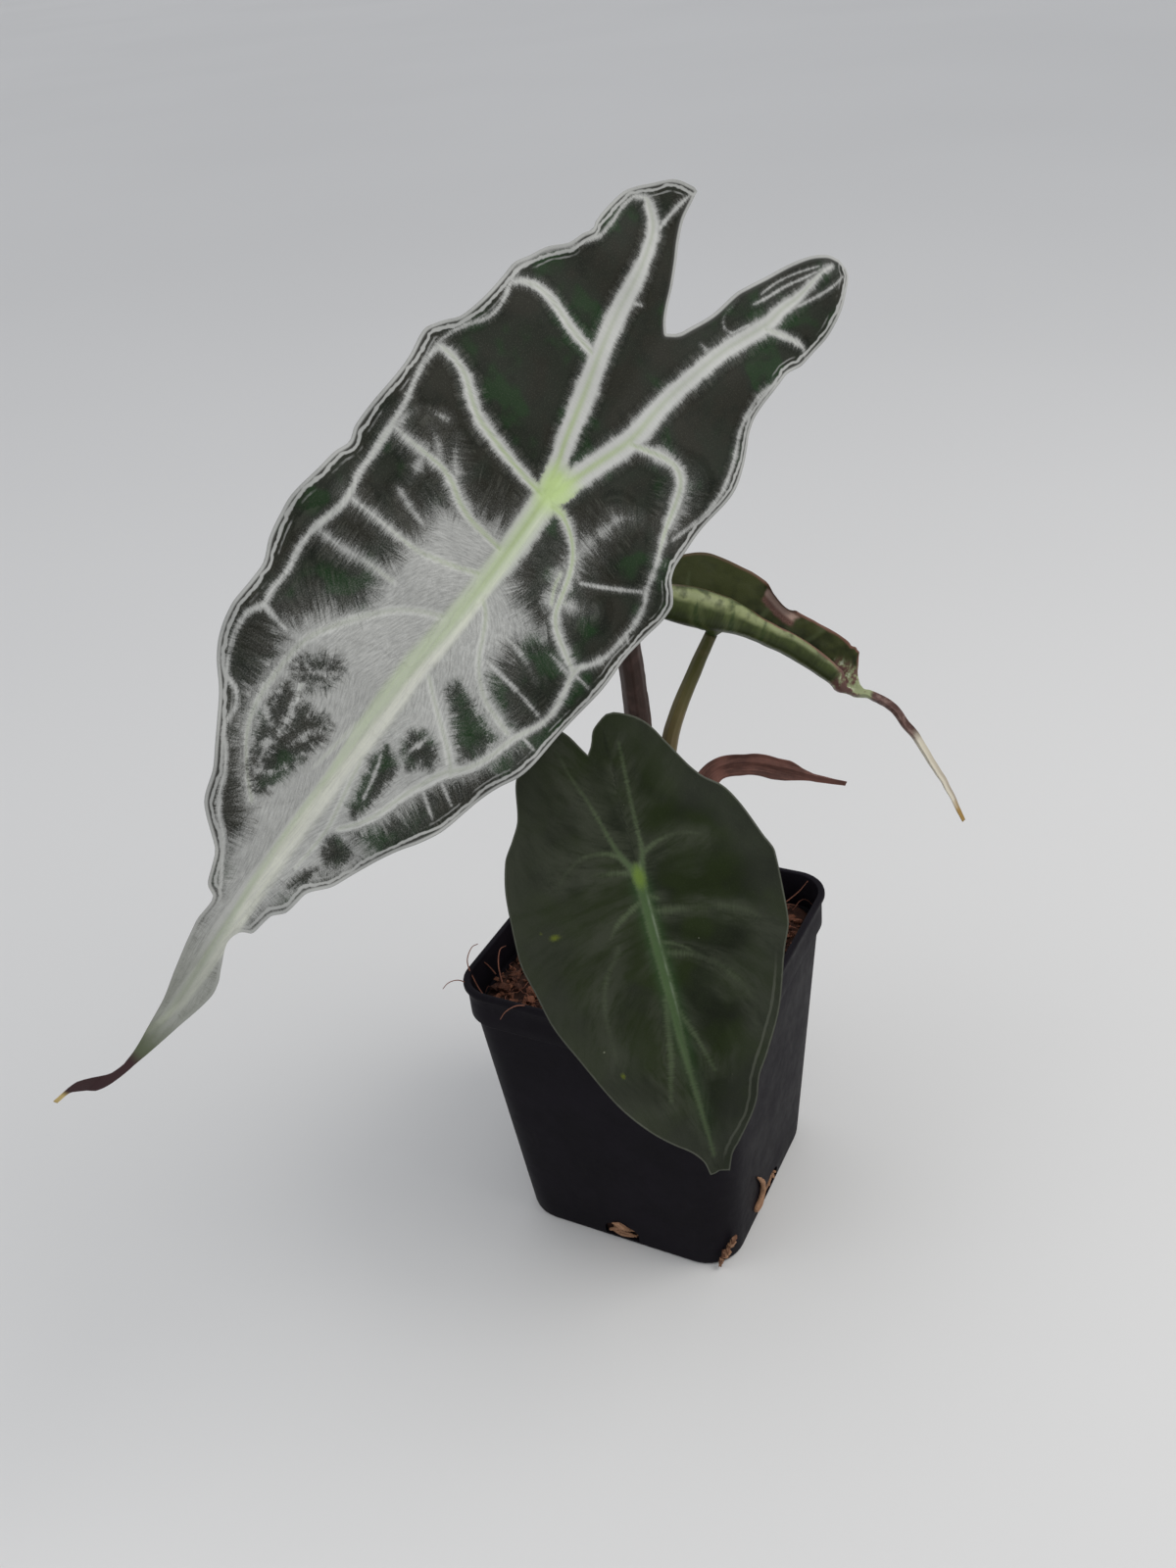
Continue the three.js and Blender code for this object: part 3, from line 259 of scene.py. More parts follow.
# The young leaf, in the same terms.
YOUNG = {
    "knob": (3, 4.4),
    "stalk": [(2.5, -5.6, 92.5), (7, -13, 122), (15, -29, 150)],
    "stalk_radii": [3, 2.6, 2],
    "joint": (32.5, -65.5, 174.4),
    "along": (0.307, -0.219, -0.926),
    "across": (0.857, 0.486, 0.17),
    "sinus": -29,
    "tip": 79,
    "midrib": [(-29, -5.1), (0, 0), (31, 0), (60, 0), (72, -0.4), (79, -0.2)],
    "left": {
        "outer": [(-36.6, -13.4), (-34.5, -17.6), (-31, -21.2), (-27.2, -23.8), (-18.9, -25.4), (-15.2, -27.5),
            (-10.8, -30.4), (-1.9, -32.3), (11.4, -32.7), (20.3, -31.2), (28.2, -29.7), (39, -25.1),
            (50.5, -19.9), (60.6, -13.3), (66.4, -9.1), (72.1, -4.7), (75.5, -3.1), (79, -2.6)],
        "inner": [(-36.6, -10.5), (-35.1, -9), (-33.6, -7.9), (-31.2, -6.5), (-29, -5.1)],
    },
    "right": {
        "outer": [(-37, 3.6), (-35.7, 6.9), (-32.8, 10.8), (-27.6, 14.3), (-18.1, 20.9), (-15.2, 24.7),
            (-11.5, 27.2), (-2.7, 31.1), (1.5, 32.8), (13.1, 32.3), (17.5, 31.9), (24.4, 29.2), (38.2, 24.5),
            (48, 18.9), (53.1, 15.7), (58.6, 13.8), (69.7, 7.2), (74.2, 4.2), (79, 2.4)],
        "inner": [(-37, 1.6), (-36.5, 0.6), (-34.1, -2.5), (-30.9, -3.8), (-29, -5.1)],
    },
}
YOUNG_RIBS = [
    [(-1.5, 0, 2), (5, 0, 2), (16, 0, 2), (31, 0, 1.9), (40, -0.4, 1.4), (50, -0.4, 1), (66, -0.3, 0.8),
        (74, -0.4, 0.6)],
    [(1, -0.6, 1.5), (-2, -1.4, 1.3), (-5, -3.2, 1), (-10, -5, 0.6), (-15, -6.5, 0.45), (-20, -8.2, 0.4),
        (-25, -10.4, 0.35), (-32, -12.4, 0.25)],
    [(1, 0.6, 1.5), (-2, 1.3, 1.2), (-5, 2.2, 0.8), (-10, 2.3, 0.5), (-15, 2.4, 0.45), (-20, 2.6, 0.4),
        (-30, 3, 0.25)],
]
YOUNG_VEINS = [
    (0.5, [(-4.6, -3, 0.9), (-6.2, -5.6, 0.8), (-6.9, -9, 0.7), (-6.9, -12, 0.6), (-6, -14.6, 0.5),
        (-4.6, -17, 0.5), (-2.6, -19, 0.3)]),
    (0.6, [(6, -0.8, 1), (8, -4.6, 0.9), (10, -8, 0.8), (12.6, -10.4, 0.5)]),
    (0.8, [(15, -9, 0.3), (17, -10, 0.7), (20, -12.6, 0.6), (24, -14.8, 0.5), (31, -16.4, 0.4),
        (42, -16.6, 0.3)]),
    (0.8, [(-1, -2, 0.6), (-1.8, -5.6, 0.4), (-2.6, -11, 0.3)]),
    (0.5, [(-4.4, 2.2, 0.8), (-6.2, 6, 0.6), (-7, 10.6, 0.5), (-6.6, 14, 0.4), (-5.6, 17, 0.3)]),
    (0.5, [(5, 0.8, 0.9), (6.6, 3.4, 0.4)]),
    (0.5, [(16.6, 0.8, 0.8), (17.8, 4.6, 0.4), (22, 10, 0.3)]),
    (0.9, [(30, -1, 1), (38, -2.7, 0.9), (46, -4.1, 0.8), (50, -5.3, 0.6), (56, -6.8, 0.4)]),
    (0.9, [(34, 0.8, 0.8), (38, 2.3, 0.6), (42, 3.5, 0.5), (50, 5.6, 0.3)]),
    (1.2, [(9, 1, 0.5), (10, 8, 0.5), (11, 16, 0.6), (13.6, 23, 0.5), (18, 27, 0.4)]),
    (1.2, [(19, 1, 0.5), (21.6, 9, 0.5), (27, 15, 0.5), (33, 18.6, 0.4), (42, 18, 0.3)]),
]
YOUNG_SLOPE = [(-37, -0.9), (-15, -0.5), (0, 0), (20, 0.35), (45, 0.9), (79, 2.5)]
# Yellow flecks in it, as (u, v, size along, size across).
YOUNG_FLECKS = [(8.6, -23.2, 0.9, 1.6), (6.8, -26, 0.5, 0.6), (45.3, -16, 0.9, 0.7)]

# The rolled leaf: its spine runs through the middle of the roll from the hidden lobes to the drip
# tip, u is measured along it from the stalk's joint, and v runs round the roll from the fold.
ROLLED = {
    "knob": (2.2, 2.6),
    "stalk": [(3.2, 5.2, 92.5), (4.5, 7.5, 130), (8, 9.5, 166)],
    "stalk_radii": [3.5, 2.8, 1.8],
    "spine": [(-0.5, 13, 210), (9, 18.5, 204.7), (19, 24.5, 199.8), (28.5, 29.5, 194), (41.3, 34.8, 184.6),
        (51.8, 38.8, 175.6), (57.8, 43, 171.2), (64, 45.4, 166), (72, 45.8, 154.5), (79.8, 45.5, 142),
        (87, 43.8, 130)],
    "lobes": 25.1,
    "sinus": -9,
    "tip": 101.5,
    "radius": [(-25, 5.2), (-4, 5.2), (4, 3.8), (12, 3), (40, 2.6), (48, 2.2), (60, 2), (102, 1.2)],
    "flap_turn": math.radians(60),
    "curl": [(-25, 30), (8, 26), (10.5, 11), (13, 8.6), (18, 6.8), (21, 9), (24, 30), (38, 30), (43, 8.5),
        (48, 6), (60, 30)],
    "curl_radius": 1.5,
    "midrib": [(-9, 0), (102, 0)],
    "left": {
        "outer": [(-25, -8), (-23, -11), (-18, -14), (-8, -16), (0, -14.5), (6, -11.5), (12, -8.6), (27, -8),
            (38, -6.6), (43, -4), (47, -2.4), (60, -2.1), (85, -1.5), (101.5, -0.6)],
        "inner": [(-25, -5.6), (-20, -3), (-14, -1.4), (-9, 0)],
    },
    "right": {
        "outer": [(-25, 8), (-22, 13), (-14, 19), (-5, 21.5), (4, 18.5), (12, 15.5), (17, 13), (22, 12),
            (34, 12.5), (44, 12), (46.5, 8), (48, 4), (49.5, 2.4), (60, 2.1), (85, 1.5), (101.5, 0.6)],
        "inner": [(-25, 5.6), (-20, 3), (-14, 1.4), (-9, 0)],
    },
}
ROLLED_RIBS = [[(-4, 0, 2.4), (20, 0, 2), (42, 0, 1.4), (60, 0, 0.9)]]
ROLLED_VEINS = [(0.6, [(-3, -0.8, 1.4), (-8, -7, 1.1), (-10, -13, 0.7)]),
    (0.6, [(5, -0.8, 1.3), (3, -5, 1), (1, -12, 0.7)]), (0.6, [(14, -0.8, 1.1), (13, -4, 0.9), (12, -8, 0.7)]),
    (0.6, [(-3, 0.8, 1.4), (-9, 8, 1.1), (-10, 15, 0.7)]), (0.6, [(8, 0.8, 1.3), (12, 6, 1), (14, 12, 0.7)]),
    (0.6, [(22, 0.8, 1.1), (27, 6, 0.9), (30, 12, 0.6)])]

# The dried sheath, a narrow curved strip that leans out of the crown and tapers.
SHEATH = {
    "spine": [(9, -1.5, 94.2), (11.2, 0.5, 112), (12.6, 5.5, 130), (13.6, 12.5, 142), (15.6, 18.5, 149),
        (20, 22.5, 150.8), (28, 26.7, 150), (36, 29.6, 147.6), (42.7, 32.6, 144.8), (51.3, 36.7, 141.9)],
    "face": (0.5, -0.8, 0.3),
    "channel_radius": 6,
    "half_width": [(0, 3.2), (20, 4.6), (45, 4.4), (60, 3.4), (72, 3.1), (80, 3.3), (84, 3.1), (88.5, 1.9),
        (92, 1.2), (98, 0.9), (112, 0.4)],
    "thickness": 0.6,
}

# The length of the straight end of a stalk, which meets its leaf's joint square.
STALK_LEAD = 12

# The stem that the stalks grow from, as (height, radius) up to its crown.
CROWN_PROFILE = [(66, 6), (70, 9), (77, 10.4), (84, 10.4), (86, 9.8), (88, 10.4), (91, 9.9), (92.6, 10.3),
    (94, 9.4)]
# Fibres that stick out over the rim, by their places.
STRAY_FIBRES = [
    [(-39, -36, 91), (-41.5, -36, 96), (-44.6, -34.2, 102.3), (-45.6, -29.5, 103.8), (-45.9, -25.5, 102.2)],
    [(-37, -38.5, 91.5), (-40.5, -39.5, 97.5), (-43.8, -41.2, 100.8), (-46, -43.6, 101), (-47.2, -45.2, 99.6)],
    [(-41.5, -25, 91), (-42.3, -26.5, 95), (-43.4, -28.2, 98.5)],
    [(-16, -39.5, 92), (-19, -42.6, 98.6), (-21.5, -45.2, 100.7), (-25, -46.3, 98.4), (-27.6, -46.2, 94.4)],
    [(-36, -30, 92), (-38.5, -27, 97), (-40.5, -22, 98.6), (-41.5, -17, 96.2)],
    [(31, 38, 91.5), (35, 40, 95.5), (37.5, 41.2, 99.3)],
]
# The root that comes out of a slot and climbs the pot, as (places, radii).
STRAY_ROOT = (
    [(36.8, -5.4, 4), (38.1, -10, 4.4), (38.1, -13.6, 5.2), (38.1, -15.6, 7.8), (38.7, -13.2, 9.4),
        (39, -11.2, 11.8), (39.3, -11.9, 16.7), (39.3, -13.8, 20), (39.3, -15.6, 22.6)],
    [0.3, 0.3, 0.35, 0.8, 0.95, 0.95, 0.9, 0.65, 0.4],
)
# The husk chunk that sticks out of the front slot, as (place, size, turn).
CHUNK = ((0.8, -37.3, 7.6), (9.5, 6.5, 5.5), (0.2, 0.35, 0.1))
# The crumbs up the pot's rounded corner: from, to, how many.
CRUMBS = ((37.5, -32.4, 11.5), (33.6, -35.9, 3), 26)
# A drain slot as (half its width, foot, top), and the room for roots in the slot of the +Y side.
SLOT = (6, 1.61, 8)
SLOT_FILL = ((-5.7, 33.4, 1.9), (5.7, 37.25, 7.6))
# The radius of the hole in the mix that the stem stands in.
STEM_HOLE = 10.6

# Blades: their thickness at the margin and how much thicker they are inside it.
MARGIN_THICK, THICKER_INSIDE = 0.35, 0.5
# How far out veins are drawn and margins are measured, how many margin edges are measured at once, and
# the most hair lengths inside or outside a vein that count.
VEIN_REACH, EDGE_REACH, EDGES_AT_ONCE, SILVER_RANGE = 9, 12, 48, 4


# ---- Settings ----


def length(name, description, default):
    return FloatProperty(name=name, description=description, default=default, min=0, unit="LENGTH", precision=4)


def power(name, description, default):
    return FloatProperty(name=name, description=description, default=default, min=0, unit="POWER")


def colour(name, description, default):
    return FloatVectorProperty(
        name=name, description=description, default=default, size=3, min=0, max=1, subtype="COLOR"
    )


class PotSettings(bpy.types.PropertyGroup):
    """Sizes and colour of the square nursery pot."""

    height: length("Height", "From the floor to the top of the rim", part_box("pot")[1].z)
    rim_side: length("Rim side", "Side of the square at the rim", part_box("pot")[1].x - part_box("pot")[0].x)
    base_side: length("Base side", "Side of the square at the foot", 0.074)
    collar_height: length("Collar height", "Height of the turned-out collar below the rim", 0.013)
    wall: length("Wall", "Thickness of the plastic", 0.0012)
    plastic: colour("Plastic", "Colour of the moulded plastic", (0.0065, 0.0055, 0.0075))


class MixSettings(bpy.types.PropertyGroup):
    """The coco husk mix and its loose pieces."""

    level: length("Level", "Height of the mix in the pot", 0.091)
    chip_size: length("Chip size", "Usual length of a husk chip", 0.0046)
    chips: IntProperty(name="Chips", description="Number of husk chips on the surface", default=1250, min=0)
    fibres: IntProperty(name="Fibres", description="Number of coir fibres on the surface", default=190, min=0)
    husk: colour("Husk", "Colour of the husk chips", (0.19, 0.075, 0.042))
    peat: colour("Dark mix", "Colour of the mix between the chips", (0.035, 0.013, 0.008))


class LeafSettings(bpy.types.PropertyGroup):
    """Colours and fineness of the leaves."""

    cell: length("Cell", "Length of a mesh cell along a leaf", 0.00056)
    columns: IntProperty(name="Columns", description="Mesh cells from midrib to margin", default=70, min=8)
    silver: colour("Silver", "Silver of the veins and of the ground round the midrib", (0.45, 0.453, 0.43))
    dark_green: colour("Dark green", "Green between the veins", (0.012, 0.0155, 0.01))
    lime: colour("Lime", "Fresh green of the midrib and of the joint", (0.5, 0.58, 0.38))
    young_green: colour("Young green", "Green of the young leaf", (0.014, 0.019, 0.008))
    underside: colour("Underside", "Pale green of the leaves' undersides", (0.042, 0.056, 0.014))


class StalkSettings(bpy.types.PropertyGroup):
    """Colours of the stalks and of the dried sheath."""

    brown: colour("Brown stalk", "Pinkish brown of the large leaf's stalk", (0.042, 0.021, 0.015))
    olive: colour("Olive stalk", "Olive green of the younger stalks", (0.048, 0.05, 0.014))
    dry: colour("Dry sheath", "Reddish brown of the dried sheath", (0.12, 0.05, 0.037))


class StageSettings(bpy.types.PropertyGroup):
    """The plain floor and the soft light."""

    floor: colour("Floor", "Colour of the floor", (0.66, 0.655, 0.64))
    key_power: power("Key light", "Power of the large soft light", 5)
    fill_power: power("Fill light", "Power of the light on the shaded side", 1.5)
    sky: FloatProperty(name="Sky", description="Strength of the light from all round", default=0.72, min=0)


# ---- Lines and noise ----


def unit(vectors):
    vectors = np.asarray(vectors, float)
    return vectors / np.linalg.norm(vectors, axis=-1, keepdims=True)


def ease(values, low, high):
    """0 below low, 1 above high, and smooth between."""
    part = np.clip((np.asarray(values, float) - low) / (high - low), 0, 1)
    return part * part * (3 - 2 * part)


def at(points, u):
    """The value at u of a list of (u, value), straight between them."""
    x, y = np.array(points, float).T
    return np.interp(u, x, y)


def flowing(points, u):
    """The value at u of a list of (u, value), by a smooth curve that never goes past its points."""
    x, y = np.array(points, float).T
    step, slope = np.diff(x), np.diff(y) / np.diff(x)
    rate = np.empty(len(x))
    rate[0], rate[-1] = slope[0], slope[-1]
    same = slope[:-1] * slope[1:] > 0
    w1, w2 = 2 * step[1:] + step[:-1], step[1:] + 2 * step[:-1]
    with np.errstate(divide="ignore", invalid="ignore"):
        mean = (w1 + w2) / (w1 / slope[:-1] + w2 / slope[1:])
    rate[1:-1] = np.where(same, mean, 0)
    u = np.clip(u, x[0], x[-1])
    k = np.clip(np.searchsorted(x, u, side="right") - 1, 0, len(x) - 2)
    h, t = step[k], (u - x[k]) / step[k]
    return (
        (1 + 2 * t) * (1 - t) ** 2 * y[k] + t * (1 - t) ** 2 * h * rate[k]
        + t * t * (3 - 2 * t) * y[k + 1] - t * t * (1 - t) * h * rate[k + 1]
    )


def steps(path):
    """The length of each step of a path."""
    return np.linalg.norm(np.diff(path, axis=0), axis=1)


def run_along(path):
    """How far along a path each of its points is."""
    return np.concatenate([[0], np.cumsum(steps(path))])


def curve_through(points, step):
    """A centripetal curve through points of any number of values, at even steps of about the length given."""
    p = np.array(points, float)
    p = np.vstack([2 * p[0] - p[1], p, 2 * p[-1] - p[-2]])
    dense = []
    for p0, p1, p2, p3 in zip(p, p[1:], p[2:], p[3:]):
        d0, d1, d2 = (max(np.linalg.norm(b - a), 1e-9) ** 0.5 for a, b in ((p0, p1), (p1, p2), (p2, p3)))
        m1 = ((p1 - p0) / d0 - (p2 - p0) / (d0 + d1) + (p2 - p1) / d1) * d1
        m2 = ((p2 - p1) / d1 - (p3 - p1) / (d1 + d2) + (p3 - p2) / d2) * d1
        t = np.linspace(0, 1, 40, endpoint=False)[:, None]
        dense.append(p1 + t * m1 + t**2 * (3 * (p2 - p1) - 2 * m1 - m2) + t**3 * (2 * (p1 - p2) + m1 + m2))
    dense = np.vstack([*dense, p[-2:-1]])
    run = run_along(dense)
    stops = np.linspace(0, run[-1], max(2, int(round(run[-1] / step)) + 1))
    return np.column_stack([np.interp(stops, run, column) for column in dense.T])


def to_segments(places, start, step):
    """How far each place is from each segment, and which part of the segment, from 0 to 1, is nearest."""
    offset = places[:, None] - start
    part = np.clip((offset * step).sum(2) / np.maximum((step**2).sum(1), 1e-12), 0, 1)
    return np.sqrt(((offset - part[..., None] * step) ** 2).sum(2)), part


def nearest_on(path, places):
    """For each place, its distance from a path, and how far along the path the nearest point is. Only the
    first two values of the path count."""
    step = np.diff(path[:, :2], axis=0)
    size = np.sqrt(np.maximum((step**2).sum(1), 1e-12))
    run = np.concatenate([[0], np.cumsum(size)])
    distance, part = to_segments(places, path[:-1, :2], step)
    k = distance.argmin(1)
    row = np.arange(len(places))
    return distance[row, k], run[k] + part[row, k] * size[k]


def near(places, path, margin):
    """Which places lie within a margin of the box round a path."""
    low, high = path[:, :2].min(0) - margin, path[:, :2].max(0) + margin
    return np.flatnonzero(np.all((places > low) & (places < high), axis=1))


def inside(outline, places):
    """Whether each place lies inside a closed outline."""
    x, y = places.T
    within = np.zeros(len(places), bool)
    for (x0, y0), (x1, y1) in zip(outline, np.roll(outline, -1, axis=0)):
        if y0 != y1:
            within ^= ((y0 > y) != (y1 > y)) & (x < (x1 - x0) * (y - y0) / (y1 - y0) + x0)
    return within


def lattice(cells, seed):
    """A repeatable value from 0 to 1 for each whole cell of a grid."""
    x, y, z = cells.T
    n = (x * 73856093) ^ (y * 19349663) ^ (z * 83492791) ^ (seed * 2654435761)
    n = (n ^ (n >> 13)) * 1274126177 & 0x7FFFFFFF
    return ((n ^ (n >> 16)) & 0xFFFFF) / 0xFFFFF


def ripple(places, size, seed=0, layers=1):
    """Smooth noise from -1 to 1 at places of two or three values, with bumps of about the size given."""
    places = np.asarray(places, float)
    if places.shape[-1] == 2:
        places = np.column_stack([places, np.zeros(len(places))])
    total, weight = np.zeros(len(places)), 0.0
    for layer in range(layers):
        scaled = places * (2**layer / size) + 31.7 * layer
        cell = np.floor(scaled).astype(np.int64)
        t = scaled - cell
        t = t * t * (3 - 2 * t)
        value = np.zeros(len(places))
        for corner in np.ndindex(2, 2, 2):
            share = np.prod(np.where(corner, t, 1 - t), axis=1)
            value += share * lattice(cell + np.array(corner), seed + layer)
        total += (2 * value - 1) * 0.5**layer
        weight += 0.5**layer
    return total / weight


# ---- Meshes ----


def add_piece(name, points, faces, finishes, node=None, slot=None, fields=None, finish_of=None, sharp=None):
    """A mesh from points in millimetres, on the plant's body, which stands for a node if one is named."""
    mesh = bpy.data.meshes.new(name)
    mesh.from_pydata((np.asarray(points) * MM).tolist(), [], [list(map(int, f)) for f in faces])
    for field, values in (fields or {}).items():
        mesh.attributes.new(field, "FLOAT", "POINT").data.foreach_set("value", np.asarray(values, np.float32))
    for finish in finishes:
        mesh.materials.append(finish)
    if finish_of is not None:
        mesh.polygons.foreach_set("material_index", np.asarray(finish_of, np.int32))
    mesh.shade_smooth()
    if sharp is not None:
        mesh.set_sharp_from_angle(angle=math.radians(sharp))
    mesh.update()
    piece = linked(name, mesh)
    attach(piece, BODY)
    if node:
        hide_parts(node)
    slot or node
    return piece


def linked(name, data):
    """A new object of the scene."""
    thing = bpy.data.objects.new(name, data)
    bpy.context.scene.collection.objects.link(thing)
    return thing


def joined(parts):
    """Several (points, faces) as one."""
    points, faces, start = [], [], 0
    for part_points, part_faces in parts:
        points.append(part_points)
        faces += [[i + start for i in face] for face in part_faces]
        start += len(part_points)
    return np.vstack(points), faces


def loft(rings):
    """A closed solid through rings of equally many points, closed at both ends round their middle."""
    rings = np.asarray(rings, float)
    count, sides = rings.shape[:2]
    points = np.vstack([rings.reshape(-1, 3), rings[0].mean(0), rings[-1].mean(0)])
    a = np.arange(sides)
    b = (a + 1) % sides
    faces = []
    for i in range(count - 1):
        low, high = i * sides, (i + 1) * sides
        faces += np.column_stack([a + low, b + low, b + high, a + high]).tolist()
    foot, head, last = count * sides, count * sides + 1, (count - 1) * sides
    faces += [[foot, int(q), int(p)] for p, q in zip(a, b)]
    faces += [[head, int(p) + last, int(q) + last] for p, q in zip(a, b)]
    return points, faces


def carried(path):
    """Tangent, side and other side at each point of a path, turning as little as they can."""
    tangent = unit(np.gradient(path, axis=0))
    side = np.zeros_like(path)
    start = np.cross(tangent[0], (0.3, 0.1, 1) if abs(tangent[0][2]) < 0.9 else (1, 0.2, 0))
    for i, t in enumerate(tangent):
        start = start - t * (start @ t)
        start = start / np.linalg.norm(start)
        side[i] = start
    return tangent, side, np.cross(tangent, side)


def tube(path, radii, sides, ends=None):
    """A closed round bar along a path. ends may give the directions that its two ends face."""
    tangent, side, other = carried(path)
    for i, axis in (ends or {}).items():
        side[i] = unit(side[i] - np.asarray(axis) * (side[i] @ np.asarray(axis)))
        other[i] = np.cross(axis, side[i])
    turn = np.linspace(0, 2 * np.pi, sides, endpoint=False)
    ring = np.cos(turn)[None, :, None] * side[:, None] + np.sin(turn)[None, :, None] * other[:, None]
    return loft(path[:, None] + ring * np.asarray(radii, float)[:, None, None])


def tapered(radii, count):
    """Radii at so many even places, straight between the ones given."""
    return np.interp(np.linspace(0, 1, count), np.linspace(0, 1, len(radii)), radii)


# The cosine and sine of the four quarter turns.
QUARTERS = ((1, 0), (0, 1), (-1, 0), (0, -1))


def square_ring(half, corner, height, side_steps, corner_steps=10):
    """A square with rounded corners at one height, counter-clockwise from the foot of the +X side."""
    flat = half - corner
    side = [(half, -flat + 2 * flat * i / side_steps) for i in range(side_steps)]
    turns = [math.pi / 2 * i / corner_steps for i in range(corner_steps)]
    side += [(flat + corner * math.cos(t), flat + corner * math.sin(t)) for t in turns]
    ring = np.vstack([np.array(side) @ np.array([(c, s), (-s, c)]) for c, s in QUARTERS])
    return np.column_stack([ring, np.full(len(ring), height)])


# ---- Leaves ----


def outwards(leaf, u, v):
    """How far out a place lies, from 0 on the midrib to 1 on the outer margin."""
    middle = flowing(leaf["midrib"], u)
    reach = np.where(v < middle, flowing(leaf["left"]["outer"], u), flowing(leaf["right"]["outer"], u))
    return np.clip(np.abs(v - middle) / np.maximum(np.abs(reach - middle), 0.5), 0, 1)


def venom_height(u, v):
    """The large leaf arches along its midrib, each half is a shallow dome, and its margin is waved."""
    left = v < flowing(VENOM["midrib"], u)
    arch = np.where(u < 0, 0.253 * u, 12 - 12 * ((u - 95) / 95) ** 2)
    part = np.hypot(v, 2.5 * ease(-u, 4, 16)) / 52
    dome = 22 * part * (1 - part) / (1 + 0.3 * part)
    out = outwards(VENOM, u, v)
    body = 1 - ease(u, 100, 125)
    wave = 1.3 * out**3 * np.sin(u / 4.3 + np.where(left, 0, 1.6)) * body
    quilt = 0.5 * np.sin(np.pi * out) * np.cos(u / 3.4 + np.where(left, 2.2, 0.4)) * body
    return arch + dome + wave + quilt


def young_height(u, v):
    """The young leaf's lobes lean back, and its tip is folded along the midrib."""
    arch = np.where(u < 0, 0.45 * u, 5 - 5 * ((u - 42) / 42) ** 2)
    fold = 0.1 + 0.55 * ease(u, 30, 80)
    out = outwards(YOUNG, u, v)
    quilt = 0.6 * np.sin(np.pi * out) * np.cos(u / 2.6 + np.where(v < 0, 1, 0))
    wave = 0.5 * out**3 * np.sin(u / 4 + v / 20)
    return arch + fold * (np.hypot(v, 2) - 2) + quilt + wave


def broad_leaf(leaf, height):
    """A leaf's surface: the place in space of (u, v), sunk by a depth along the leaf's own normal."""
    along = unit(leaf["along"])
    normal = unit(np.cross(along, leaf["across"]))
    across = np.cross(normal, along)

    def point(u, v, depth):
        amounts = ((u, along), (v, across), (height(u, v) - depth, normal))
        return sum((np.multiply.outer(amount, axis) for amount, axis in amounts), np.array(leaf["joint"]))

    return point, normal


def rolled_leaf(leaf):
    """The rolled leaf's section is an arc round the spine, which it leaves as a flap with a curled edge."""
    spine = curve_through(leaf["spine"], 0.25)
    run = np.linspace(0, steps(spine).sum(), len(spine))
    tangent = unit(np.gradient(spine, axis=0))
    start_turn, curl_radius = leaf["flap_turn"], leaf["curl_radius"]
    across, out = np.cos(start_turn), np.sin(start_turn)

    def frame_at(u):
        stop = np.clip(u + leaf["lobes"], 0, run[-1])
        centre, along = (
            np.column_stack([np.interp(stop, run, values) for values in line.T]) for line in (spine, tangent)
        )
        along = unit(along)
        back = unit(np.cross((0, 0, 1), along))
        return centre, back, np.cross(along, back)

    def point(u, v, depth):
        centre, back, up = frame_at(u)
        row = np.column_stack([u, 0 * u])
        wave, gnarl = ripple(row, 5.5, 11, 2), ripple(np.column_stack([u, v]), 3.2, 5, 2)
        rough = ease(u, 36, 42) * (1 - ease(u, 52, 57))
        radius = flowing(leaf["radius"], u) * (1 + 0.09 * wave * ease(u, -6, 6) + (0.42 * gnarl + 0.16) * rough)
        turn = np.minimum(v / radius, start_turn)
        flap = np.maximum(0, v - radius * start_turn)
        start = flowing(leaf["curl"], u)
        bend = np.maximum(0, flap - start) / curl_radius
        flap = np.minimum(flap, start) + curl_radius * np.sin(bend)
        lean = curl_radius * (1 - np.cos(bend)) + depth * np.sin(bend)
        lean += (0.9 * wave + 0.5 * gnarl) * ease(flap, 1, 9) * ease(u, 4, 18) * ease(flap, 0.1, 0.3)
        x = (radius + depth) * np.sin(turn) + flap * across - lean * out
        y = -(radius + depth) * np.cos(turn) + flap * out + lean * across
        wander = 0.9 * ripple(row, 6, 8, 2) * ease(u, 48, 56) * (1 - ease(u, 92, 101))
        return centre + back * (x + wander)[:, None] + up * y[:, None]

    return point, frame_at(np.zeros(1))[2][0]


